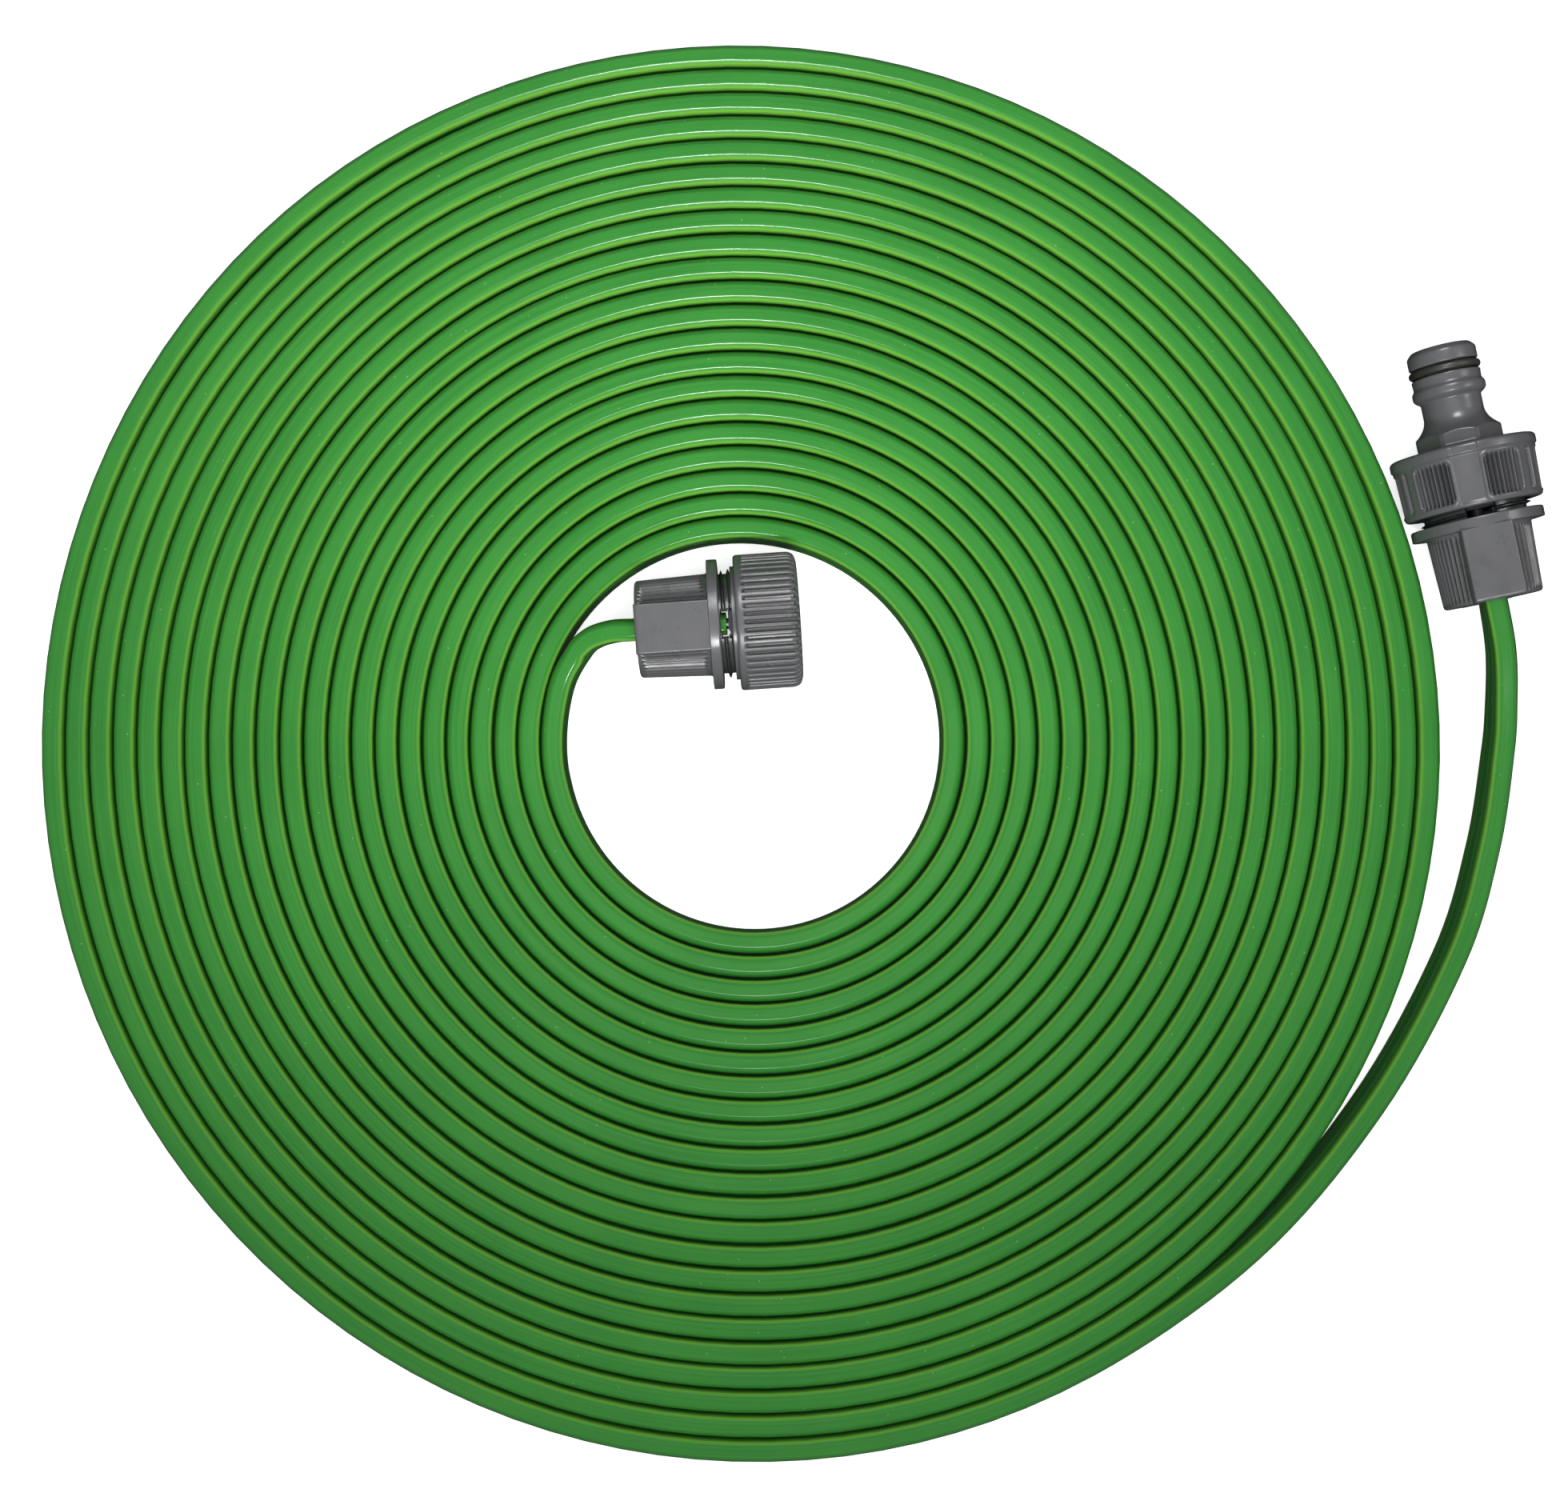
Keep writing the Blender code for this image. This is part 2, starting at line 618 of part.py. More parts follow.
def add_tap_connector(frame, finish, seal_finish):
    outline = [
        (0, NUT_START),
        (NUT_REAR_RADIUS - GRIP_ROUNDING, NUT_START),
        (NUT_REAR_RADIUS, NUT_START + GRIP_ROUNDING),
        (NUT_FRONT_RADIUS, NUT_RIM_START),
        (NUT_RIM_RADIUS, NUT_RIM_START + GAP),
        (NUT_RIM_RADIUS, NUT_RIM_END),
        (NUT_FRONT_RADIUS, NUT_END),
        (COLLAR_RADIUS, NUT_END),
        (COLLAR_RADIUS, COLLAR_END),
    ]
    flare_steps = 4
    for i in range(1, flare_steps + 1):
        angle = math.pi / 2 * i / flare_steps
        radius = COLLAR_RADIUS - (COLLAR_RADIUS - NECK_RADIUS) * math.sin(angle)
        z = NECK_START - (NECK_START - COLLAR_END) * math.cos(angle)
        outline.append((radius, z))
    outline += [
        (NECK_RADIUS, NECK_END),
        (RIDGE_RADIUS, RIDGE_START),
        (RIDGE_RADIUS, RIDGE_END),
        (NIPPLE_RADIUS, RIDGE_END + GRIP_ROUNDING),
        (NIPPLE_RADIUS, GROOVE_START),
        (GROOVE_RADIUS, GROOVE_START),
        (GROOVE_RADIUS, GROOVE_END),
        (NIPPLE_RADIUS, GROOVE_END),
        (NIPPLE_RADIUS, NIPPLE_END - GRIP_ROUNDING),
        (NIPPLE_END_RADIUS, NIPPLE_END),
        (0, NIPPLE_END),
    ]
    connector = piece("tap_connector", turned(outline), finish, frame)
    waterway = turned(((0, CEILING - GAP), (WATERWAY_RADIUS, CEILING - GAP),
                       (WATERWAY_RADIUS, NIPPLE_END + GAP), (0, NIPPLE_END + GAP)))
    cutters = female_cutters("tap_connector", NUT_START, frame)
    cutters.append(piece("tap_connector_waterway", waterway, parent=frame))
    combine(connector, "DIFFERENCE", cutters)

    ring_steps = 8
    ring = []
    for i in range(ring_steps):
        angle = 2 * math.pi * i / ring_steps
        ring.append((O_RING_RADIUS + O_RING_THICKNESS / 2 * math.cos(angle),
                     (GROOVE_START + GROOVE_END) / 2 + O_RING_THICKNESS / 2 * math.sin(angle)))
    piece("nipple_o_ring", turned(ring, 32), seal_finish, frame)


def add_end_cap(frame, finish):
    cap = piece("end_cap", turned((
        (0, CAP_START),
        (CAP_RADIUS - GRIP_ROUNDING, CAP_START),
        (CAP_RADIUS, CAP_START + GRIP_ROUNDING),
        (CAP_RADIUS, CAP_SHOULDER),
        (CAP_RADIUS - GRIP_ROUNDING, CAP_SHOULDER + GRIP_ROUNDING),
        (CAP_FACE_RADIUS, CAP_END - GAP),
        (0, CAP_END),
    )), finish, frame)
    combine(cap, "DIFFERENCE", female_cutters("end_cap", CAP_START, frame))


def main():
    clear_scene()
    green_pvc = material("green_pvc", (0.06, 0.33, 0.045), 0.34)
    grey_plastic = material("grey_plastic", (0.105, 0.107, 0.112), 0.42)
    dark_plastic = material("dark_plastic", (0.025, 0.027, 0.030), 0.45)
    seal_rubber = material("seal_rubber", (0.020, 0.020, 0.018), 0.60)

    inlet_frame = fitting_frame("inlet_fitting_axis", INLET_ENTRY, INLET_HEADING, INLET_ROLL)
    end_frame = fitting_frame("end_fitting_axis", END_ENTRY, END_HEADING, END_ROLL)
    add_hose(inlet_frame, end_frame, green_pvc)
    for place, frame in (("inlet", inlet_frame), ("end", end_frame)):
        add_clamp_body(f"{place}_clamp_body", frame, grey_plastic)
        add_insert(f"{place}_barbed_insert", frame, dark_plastic)
        add_washer(f"{place}_washer", frame, seal_rubber)
    add_tap_connector(inlet_frame, grey_plastic, seal_rubber)
    add_end_cap(end_frame, grey_plastic)


main()
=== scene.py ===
"""The looks of a coiled soaker hose with a tap connector and an end cap.

Lengths are in metres.  The hose lies where the frame's coil and free ends lie.  The
fittings are built along their own axes, which are the axes of the frame's two screws.
"""
import json
import math

import bmesh
import bpy
import numpy as np
from mathutils import Matrix, Vector, noise


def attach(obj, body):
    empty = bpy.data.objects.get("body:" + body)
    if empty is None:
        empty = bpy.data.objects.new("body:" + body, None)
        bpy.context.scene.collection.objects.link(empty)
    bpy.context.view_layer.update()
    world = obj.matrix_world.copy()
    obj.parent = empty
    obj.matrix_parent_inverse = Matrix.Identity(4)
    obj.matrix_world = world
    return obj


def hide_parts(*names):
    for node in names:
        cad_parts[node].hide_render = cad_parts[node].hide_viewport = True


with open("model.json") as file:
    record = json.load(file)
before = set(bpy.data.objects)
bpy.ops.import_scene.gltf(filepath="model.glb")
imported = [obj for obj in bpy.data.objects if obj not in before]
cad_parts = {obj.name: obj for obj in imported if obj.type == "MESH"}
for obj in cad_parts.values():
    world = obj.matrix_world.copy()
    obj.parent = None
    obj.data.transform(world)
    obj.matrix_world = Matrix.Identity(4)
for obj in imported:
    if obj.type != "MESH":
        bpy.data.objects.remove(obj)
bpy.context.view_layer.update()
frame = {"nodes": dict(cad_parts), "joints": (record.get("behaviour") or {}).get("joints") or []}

MM = 0.001

# ------------------------------------------------------------------- the frame's sizes
# These repeat the sizes that the frame's parts were made with.

HOSE_WIDTH = 16.4 * MM
HOSE_THICKNESS = 5.5 * MM
INLET_REACH = 20.2 * MM              # how far the visible hose reaches into each fitting
END_REACH = 21.7 * MM
CHANNEL_SPACING = 5.4 * MM
CHANNEL_RADIUS = 1.95 * MM
SOCKET_DEPTH = 12.2 * MM             # of the channels, from the hose's end

TURN_PITCH = 5.838 * MM
TURN_ZERO_RADIUS = 44.97 * MM
FIRST_TURN = 0.53
LAST_TURN = 21.83
TURN_COUNT = 22
COIL_CENTRE = Vector((-10.46 * MM, 1.10 * MM, 0.0))
SHIFT_X = (-0.23 * MM, 0.34 * MM)
SHIFT_Y = (1.33 * MM, -0.99 * MM)
OVAL_X = (-0.09 * MM, -0.31 * MM)
OVAL_DIAGONAL = (-0.41 * MM, -0.25 * MM)

INLET_ROLL = math.radians(-11.0)     # how far each fitting is rolled about its own axis
END_ROLL = math.radians(4.0)

GRIP_LENGTH = 17.7 * MM
GRIP_REAR_RADIUS = 11.8 * MM
GRIP_FRONT_RADIUS = 12.5 * MM
PAD_HALF_WIDTH = 6.0 * MM
PAD_REAR_REACH = 15.5 * MM
PAD_FRONT_REACH = 15.8 * MM
FLANGE_RADIUS = 15.8 * MM
FLANGE_END = 20.3 * MM
THREAD_END = 33.4 * MM
INSERT_BORE = 10.5 * MM
INSERT_SEAT = 22.0 * MM
WINDOW_HALF_WIDTH = 3.6 * MM
WINDOW_START = 20.45 * MM
WINDOW_END = 26.6 * MM
WINDOW_FLOOR = 8.3 * MM              # how near to the axis the windows reach

THREAD_PITCH = 1.814 * MM
THREAD_DATUM = 21.0 * MM
MALE_CREST = 13.2 * MM
MALE_ROOT = 12.1 * MM
TOOTH_FOOT = 1.0 * MM
TOOTH_TIP = 0.25 * MM
THREAD_RUNOUT = 0.8 * MM
FEMALE_MINOR = 12.4 * MM
FEMALE_MAJOR = 13.5 * MM
FEMALE_START = 25.4 * MM
FEMALE_END = 31.4 * MM
MOUTH_RADIUS = 13.8 * MM
CEILING = 36.2 * MM


# ----------------------------------------------------------------------------- helpers

def bezier(start, corner, end, steps):
    """Points on a quadratic curve from start to end, bent towards the corner."""
    points = []
    for i in range(steps + 1):
        t = i / steps
        points.append(tuple((1 - t) ** 2 * a + 2 * t * (1 - t) * b + t ** 2 * c
                            for a, b, c in zip(start, corner, end)))
    return points


def rounded(corners, radius, steps=3, closed=False):
    """A flat outline with its corners rounded."""
    count = len(corners)
    outline = []
    for i, corner in enumerate(corners):
        if not closed and i in (0, count - 1):
            outline.append(tuple(corner))
            continue
        before = Vector(corners[i - 1]) - Vector(corner)
        after = Vector(corners[(i + 1) % count]) - Vector(corner)
        reach = min(radius, 0.45 * before.length, 0.45 * after.length)
        start = Vector(corner) + before.normalized() * reach
        end = Vector(corner) + after.normalized() * reach
        outline += bezier(start, corner, end, steps)
    return outline


def evenly(start, end, count):
    """Points from start, left out, to end."""
    return [tuple(a + (b - a) * i / count for a, b in zip(start, end))
            for i in range(1, count + 1)]


def filled(outline, spacing):
    """The outline with extra points wherever two of them are further apart than spacing."""
    result = [outline[0]]
    for start, end in zip(outline, outline[1:]):
        result += evenly(start, end, max(1, math.ceil(math.dist(start, end) / spacing)))
    return result


def smooth_step(low, high, value):
    """0 up to low, 1 from high on, and a smooth climb between them."""
    share = np.clip((value - low) / (high - low), 0.0, 1.0)
    return share * share * (3 - 2 * share)


def rounded_box_distance(x, y, half_x, half_y, radius):
    """How far outside a rounded rectangle a point is; negative inside it."""
    across = np.abs(x) - (half_x - radius)
    along = np.abs(y) - (half_y - radius)
    outside = np.hypot(np.maximum(across, 0), np.maximum(along, 0))
    return outside + np.minimum(np.maximum(across, along), 0) - radius


def new_object(name, mesh, finish):
    """An object in the scene from a mesh and its first material."""
    mesh.materials.append(finish)
    made = bpy.data.objects.new(name, mesh)
    bpy.context.scene.collection.objects.link(made)
    return made


class Rows:
    """Rows of points round a fitting's axis, each row as long as the list of angles.

    plain holds each row's radius between its grooves, or 0 where a row has none.
    """

    def __init__(self, angles):
        self.cosines = np.cos(angles)
        self.sines = np.sin(angles)
        self.points = []
        self.plain = []

    def add(self, radius, z, plain=0.0):
        """A row round the axis; radius and z are one number or one for each angle."""
        radius = np.broadcast_to(radius, self.cosines.shape)
        z = np.broadcast_to(z, self.cosines.shape)
        self.points.append(np.stack([radius * self.cosines, radius * self.sines, z], axis=1))
        self.plain.append(plain)

    def add_outline(self, outline, z, plain):
        """A row from a flat outline, at one height."""
        self.points.append(np.column_stack([outline, np.full(len(outline), z)]))
        self.plain.append(plain)


def grid_object(name, rows, finish, groove_depth=MM, closed=True):
    """A solid from rows of points; the rows close up, or each end closes to a point.

    Its attribute for painted shade in the grooves is 1 where the surface lies groove_depth below
    its plain radius.
    """
    grid = np.array(rows.points)
    row_count, columns, _ = grid.shape
    points = grid.reshape(-1, 3).tolist()
    radius = np.hypot(grid[:, :, 0], grid[:, :, 1])
    # How deep in a groove each point lies, for the painted shade.
    painted_groove_shade = np.clip((np.array(rows.plain)[:, None] - radius) / groove_depth, 0.0, 1.0)
    faces = []
    for row in range(row_count if closed else row_count - 1):
        above = (row + 1) % row_count
        for column in range(columns):
            following = (column + 1) % columns
            faces.append((row * columns + column, row * columns + following,
                          above * columns + following, above * columns + column))
    if not closed:
        for row in (0, row_count - 1):
            middle = len(points)
            points.append(grid[row].mean(axis=0).tolist())
            for column in range(columns):
                following = (column + 1) % columns
                faces.append((row * columns + column, row * columns + following, middle))
    mesh = bpy.data.meshes.new(name)
    mesh.from_pydata(points, [], faces)
    values = np.zeros(len(points), dtype=np.float32)
    values[:painted_groove_shade.size] = painted_groove_shade.ravel()
    mesh.attributes.new("painted_groove_shade", "FLOAT", "POINT").data.foreach_set("value", values)
    builder = bmesh.new()
    builder.from_mesh(mesh)
    bmesh.ops.recalc_face_normals(builder, faces=builder.faces)
    builder.to_mesh(mesh)
    builder.free()
    return new_object(name, mesh, finish)


def finish_shading(made, angle):
    """Smooth shading, with a sharp edge where faces meet at more than the angle in degrees."""
    made.data.shade_smooth()
    made.data.set_sharp_from_angle(angle=math.radians(angle))
    weighted = made.modifiers.new("weighted_normals", "WEIGHTED_NORMAL")
    weighted.keep_sharp = True


def joint_frame(joint_name, roll):
    """A screw's frame: local Z along the fitting, local Y up before the fitting's roll."""
    joint = next(j for j in frame["joints"] if j["name"] == joint_name)
    axis = Vector(joint["axis"]).normalized()
    up = Vector((0, 0, 1))
    side = up.cross(axis).normalized()
    rotation = Matrix.Rotation(roll, 3, axis) @ Matrix((side, up, axis)).transposed()
    matrix = rotation.to_4x4()
    matrix.translation = Vector(joint["pos_m"])
    return matrix


INLET_FRAME = joint_frame("connector_turn", INLET_ROLL)
END_FRAME = joint_frame("cap_turn", END_ROLL)


# --------------------------------------------------------------------------- materials

def set_stops(ramp, stops):
    """Gives a colour ramp node its stops of (position, grey or colour)."""
    elements = ramp.color_ramp.elements
    while len(elements) < len(stops):
        elements.new(0.5)
    for element, (position, shade) in zip(elements, stops):
        element.position = position
        element.color = (*shade, 1) if isinstance(shade, tuple) else (shade, shade, shade, 1)


class Shader:
    """A few short calls for wiring one procedural material."""

    def __init__(self, name):
        self.material = bpy.data.materials.new(name)
        self.material.use_nodes = True
        self.nodes = self.material.node_tree.nodes
        self.links = self.material.node_tree.links
        self.surface = self.nodes["Principled BSDF"]
        self.place = self.nodes.new("ShaderNodeTexCoord").outputs["Object"]

    def feed(self, socket, value):
        """Links a socket to another node's, or gives it a number or colour of its own."""
        if isinstance(value, bpy.types.NodeSocket):
            self.links.new(value, socket)
        else:
            socket.default_value = (*value, 1) if isinstance(value, tuple) else value

    def noise(self, scale, detail=3.0, place=None):
        node = self.nodes.new("ShaderNodeTexNoise")
        node.inputs["Scale"].default_value = scale
        node.inputs["Detail"].default_value = detail
        self.links.new(place or self.place, node.inputs["Vector"])
        return node.outputs["Fac"]

    def spots(self, scale, size):
        """Sparse dots: 1 in a dot and 0 elsewhere."""
        node = self.nodes.new("ShaderNodeTexVoronoi")
        node.inputs["Scale"].default_value = scale
        self.links.new(self.place, node.inputs["Vector"])
        return self.ramp(node.outputs["Distance"], ((0.0, 1.0), (size, 0.0)))

    def ramp(self, value, stops):
        """A value turned into a grey or a colour by stops of (position, grey or colour)."""
        node = self.nodes.new("ShaderNodeValToRGB")
        set_stops(node, stops)
        self.links.new(value, node.inputs["Fac"])
        return node.outputs["Color"]

    def mix(self, share, first, second, blend="MIX"):
        node = self.nodes.new("ShaderNodeMix")
        node.data_type = "RGBA"
        node.blend_type = blend
        factor, colour_a, colour_b = (node.inputs[i] for i in (0, 6, 7))
        self.feed(factor, share)
        self.feed(colour_a, first)
        self.feed(colour_b, second)
        return node.outputs[2]

    def maths(self, operation, first, second):
        node = self.nodes.new("ShaderNodeMath")
        node.operation = operation
        for socket, value in zip(node.inputs, (first, second)):
            self.feed(socket, value)
        return node.outputs[0]

    def bump(self, height, distance, strength=1.0, under=None):
        node = self.nodes.new("ShaderNodeBump")
        node.inputs["Distance"].default_value = distance
        node.inputs["Strength"].default_value = strength
        self.links.new(height, node.inputs["Height"])
        if under is not None:
            self.links.new(under, node.inputs["Normal"])
        return node.outputs["Normal"]

    def attribute(self, name):
        node = self.nodes.new("ShaderNodeAttribute")
        node.attribute_name = name
        return node.outputs["Fac"]

    def join(self, colour=None, roughness=None, normal=None, numbers=()):
        for name, source in (("Base Color", colour), ("Roughness", roughness),
                             ("Normal", normal)):
            if source is not None:
                self.links.new(source, self.surface.inputs[name])
        for name, value in numbers:
            self.surface.inputs[name].default_value = value
        return self.material


def soft_pvc():
    """Green soft PVC: glossy, drawn lengthwise, with pale specks, and painted light on its inner
    edges, which are lighter and yellower.
    """
    shader = Shader("soft_pvc")
    patches = shader.noise(38.0, 4.0)
    colour = shader.ramp(patches, ((0.25, (0.018, 0.158, 0.020)), (0.75, (0.026, 0.190, 0.025))))
    lines = shader.noise(1.0, 2.0, shader.nodes.new("ShaderNodeUVMap").outputs["UV"])
    colour = shader.mix(shader.ramp(lines, ((0.35, 0.0), (0.7, 0.16))), colour,
                        (0.085, 0.320, 0.040))
    # Painted light: the edges facing the coil's middle are made lighter and yellower, as if lit.
    colour = shader.mix(shader.attribute("painted_light_inner_edge"), colour, (0.125, 0.350, 0.040))
    specks = shader.spots(260.0, 0.060)
    colour = shader.mix(shader.maths("MULTIPLY", specks, 0.55), colour, (0.42, 0.62, 0.36))
    grain = shader.noise(2600.0, 2.0)
    roughness = shader.ramp(shader.noise(120.0, 5.0), ((0.3, 0.15), (0.7, 0.22)))
    normal = shader.bump(grain, 0.00002, 0.25)
    normal = shader.bump(lines, 0.00002, 0.3, normal)
    return shader.join(colour, roughness, normal, (
        ("Subsurface Weight", 0.06), ("Subsurface Radius", (0.6, 1.4, 0.35)),
        ("Subsurface Scale", 0.0011), ("IOR", 1.42)))


def moulded_plastic(name, dark, light, roughness, grain):
    """Satin moulded plastic with a fine eroded grain, faint flow marks and painted shade in its
    grooves.
    """
    shader = Shader(name)
    flow = shader.noise(90.0, 4.0)
    colour = shader.ramp(flow, ((0.3, dark), (0.7, light)))
    fine = shader.noise(1900.0, 2.0)
    colour = shader.mix(shader.ramp(fine, ((0.42, 0.0), (0.75, 0.12))), colour,
                        tuple(1.4 * part for part in light))
    # Painted shade: the colour darkens in the grooves, where shade falls.
    colour = shader.mix(shader.maths("MULTIPLY", shader.attribute("painted_groove_shade"), 0.85), colour,
                        tuple(0.22 * part for part in dark))
    rough = shader.ramp(shader.noise(240.0, 4.0),
                        ((0.3, roughness - 0.05), (0.7, roughness + 0.07)))
    normal = shader.bump(fine, grain, 0.3)
    return shader.join(colour, rough, normal, (("IOR", 1.49),))


def seal_rubber():
    shader = Shader("seal_rubber")
    colour = shader.ramp(shader.noise(160.0, 4.0),
                         ((0.3, (0.010, 0.010, 0.008)), (0.7, (0.024, 0.024, 0.018))))
    rough = shader.ramp(shader.noise(400.0, 3.0), ((0.3, 0.34), (0.7, 0.50)))
    normal = shader.bump(shader.noise(2400.0, 2.0), 0.00003, 0.5)
    return shader.join(colour, rough, normal)


def pale_floor():
    shader = Shader("pale_floor")
    colour = shader.ramp(shader.noise(14.0, 3.0),
                         ((0.3, (0.86, 0.86, 0.86)), (0.7, (0.89, 0.89, 0.89))))
    return shader.join(colour, shader.ramp(shader.noise(60.0), ((0, 0.6), (1, 0.7))), None,
                       (("Emission Color", (1, 1, 1, 1)), ("Emission Strength", 0.65)))


GREEN_PVC = soft_pvc()
GREY_PLASTIC = moulded_plastic("grey_plastic", (0.066, 0.067, 0.070), (0.078, 0.079, 0.083),
                               0.30, 0.00002)
# Dark plastic for the barbed inserts; on the clamp bodies' thread it is painted shade.
DARK_PLASTIC_AND_THREAD_SHADE = moulded_plastic("dark_plastic", (0.020, 0.021, 0.021), (0.030, 0.032, 0.032),
                               0.26, 0.00003)
SEAL_RUBBER = seal_rubber()


# -------------------------------------------------------------------------------- hose

def winding_radius(turns):
    """Distance of the hose's middle from the coil's centre after so many turns."""
    angle = 2 * math.pi * turns
    share = turns / TURN_COUNT
    waves = (
        (SHIFT_X, math.cos(angle)),
        (SHIFT_Y, math.sin(angle)),
        (OVAL_X, math.cos(2 * angle)),
        (OVAL_DIAGONAL, math.sin(2 * angle)),
    )
    radius = TURN_ZERO_RADIUS + TURN_PITCH * turns
    for (inner, change), wave in waves:
        radius += (inner + change * share) * wave
    return radius


def winding_point(turns, height=HOSE_WIDTH / 2, offset=0.0):
    """A point on the hose's middle, or beside it, measured from the coil's centre."""
    angle = 2 * math.pi * turns
    radius = winding_radius(turns) + offset
    return Vector((radius * math.cos(angle), radius * math.sin(angle), height))


def smooth_route(points, steps):
    """Points on a smooth curve through a route; its first and last points only steer it."""
    route = []
    for before, start, end, after in zip(points, points[1:], points[2:], points[3:]):
        for i in range(steps):
            t = i / steps
            route.append(0.5 * (2 * start + (end - before) * t
                                + (2 * before - 5 * start + 4 * end - after) * t ** 2
                                + (3 * start - before - 3 * end + after) * t ** 3))
    route.append(points[-2])
    return route


def entry_points(fitting, reach):
    """The straight stretch of hose inside a fitting, measured from the coil's centre."""
    entry = fitting.translation - COIL_CENTRE
    axis = fitting.col[2].to_3d()
    return [entry, entry + axis * reach / 2, entry + axis * reach]


# The free ends' routes, in millimetres from the coil's centre.
OUTER_ROUTE = ((123.5, -123.5, 8.25), (153.4, -88.6, 8.3), (173.7, -52.3, 8.4),
               (181.9, -25.0, 9.3), (184.9, -1.6, 11.7), (185.2, 10.1, 13.6),
               (184.3, 23.0, 16.3))
INNER_ROUTE = ((-41.9, 22.7, 12.0), (-38.1, 26.2, 14.0), (-32.9, 27.9, 15.9))
TAIL_STEPS = 9
RINGS_PER_TURN = 120
SLACK_TURN = 21.36                   # where the outermost turn stands off a little
SLACK_SPREAD = 0.055
SLACK = 0.45 * MM
DRIFT = 0.11 * MM                    # how unevenly the turns lie
DRIFT_WAVES = 2.3                    # to a turn
DRIFT_PLACE = 4.7                    # where in the noise the drift is read
DRIFT_FADE = 40                      # rings over which the drift fades out at each end


def tail_route(lead, points, fitting, reach):
    """A free end's centreline from the coil to its end inside a fitting."""
    route = lead + [Vector(point) * MM for point in points] + entry_points(fitting, reach)
    route.append(2 * route[-1] - route[-2])
    return smooth_route(route, TAIL_STEPS)


def tail_twist(route, roll):
    """The roll of each section of a free end, growing ever faster towards its fitting.

    Inside the fitting, over the last two stretches of the route, it stays at the full roll.
    """
    at_entry = len(route) - 1 - 2 * TAIL_STEPS
    return [roll * min(1.0, i / at_entry) ** 2 for i in range(len(route))]


def hose_route():
    """The whole centreline, from the inlet fitting to the end fitting, and its twist."""
    outer = tail_route([winding_point(LAST_TURN - 0.04), winding_point(LAST_TURN)],
                       OUTER_ROUTE, INLET_FRAME, INLET_REACH)
    inner = tail_route([winding_point(FIRST_TURN + 0.05), winding_point(FIRST_TURN),
                        winding_point(0.49, 8.6 * MM), winding_point(0.45, 9.9 * MM)],
                       INNER_ROUTE, END_FRAME, END_REACH)
    coil = []
    count = round((LAST_TURN - FIRST_TURN) * RINGS_PER_TURN)
    for i in range(1, count):
        turns = LAST_TURN + (FIRST_TURN - LAST_TURN) * i / count
        near_end = min(1.0, i / DRIFT_FADE, (count - i) / DRIFT_FADE)
        drift = DRIFT * noise.noise(Vector((DRIFT_WAVES * turns, 0.0, DRIFT_PLACE)))
        slack = SLACK * math.exp(-((turns - SLACK_TURN) / SLACK_SPREAD) ** 2)
        coil.append(winding_point(turns, offset=drift * near_end + slack))
    route = [COIL_CENTRE + point for point in outer[::-1] + coil + inner]
    twist = [-roll for roll in tail_twist(outer, INLET_ROLL)[::-1]]
    twist += [0.0] * len(coil) + tail_twist(inner, END_ROLL)
    return route, twist


# Each edge's points: how far in from the hose's face, and how far along it from its rim.
OUTER_EDGE = ((0.0, 3.6 * MM), (0.42 * MM, 1.8 * MM), (0.92 * MM, 0.70 * MM), (1.75 * MM, 0.0))
INNER_EDGE = ((0.0, 2.3 * MM), (0.06 * MM, 1.2 * MM), (0.26 * MM, 0.66 * MM), (1.20 * MM, 0.0))
EDGE_ROUNDING = 0.32 * MM
DIP = 0.24 * MM                      # the shallow dips between the channels
DIP_HALF_WIDTH = 0.5 * MM
DRAWN_WIDTH = 0.6 * MM               # the size of the lines that the extruder leaves
DRAWN_LENGTH = 90 * MM


def hose_outline():
    """The hose's section, x away from the coil's middle and y up: three channels in a row.

    Its outer edges fall away more than its inner ones.
    """
    half = HOSE_THICKNESS / 2
    tall = HOSE_WIDTH / 2
    dips = []
    for middle in (-CHANNEL_SPACING / 2, CHANNEL_SPACING / 2):
        dips += [(half, middle - DIP_HALF_WIDTH), (half - DIP, middle),
                 (half, middle + DIP_HALF_WIDTH)]
    corners = [(half - inset, drop - tall) for inset, drop in OUTER_EDGE[::-1]]
    corners += dips
    corners += [(half - inset, tall - drop) for inset, drop in OUTER_EDGE]
    corners += [(inset - half, tall - drop) for inset, drop in INNER_EDGE[::-1]]
    corners += [(-x, -y) for x, y in dips]
    corners += [(inset - half, drop - tall) for inset, drop in INNER_EDGE]
    return rounded(corners, EDGE_ROUNDING, 2, closed=True)


def painted_light_share(x, y):
    """Painted light: 1 on the hose's edges at the coil's inner side, fading to 0 on the rest of
    it.
    """
    inset = x + HOSE_THICKNESS / 2
    drop = HOSE_WIDTH / 2 - abs(y)
    return float((1 - smooth_step(0.12 * MM, 0.80 * MM, inset))
                 * (1 - smooth_step(1.6 * MM, 3.2 * MM, drop)))


def section_axes(route, twist):
    """Each section's directions: away from the coil's middle, up and along the hose."""
    axes = []
    for i, roll in enumerate(twist):
        along = (route[min(i + 1, len(route) - 1)] - route[max(i - 1, 0)]).normalized()
        side = Vector((0, 0, 1)).cross(along).normalized()
        up = along.cross(side)
        rolled = Matrix.Rotation(roll, 3, along)
        axes.append((rolled @ side, rolled @ up, along))
    return axes


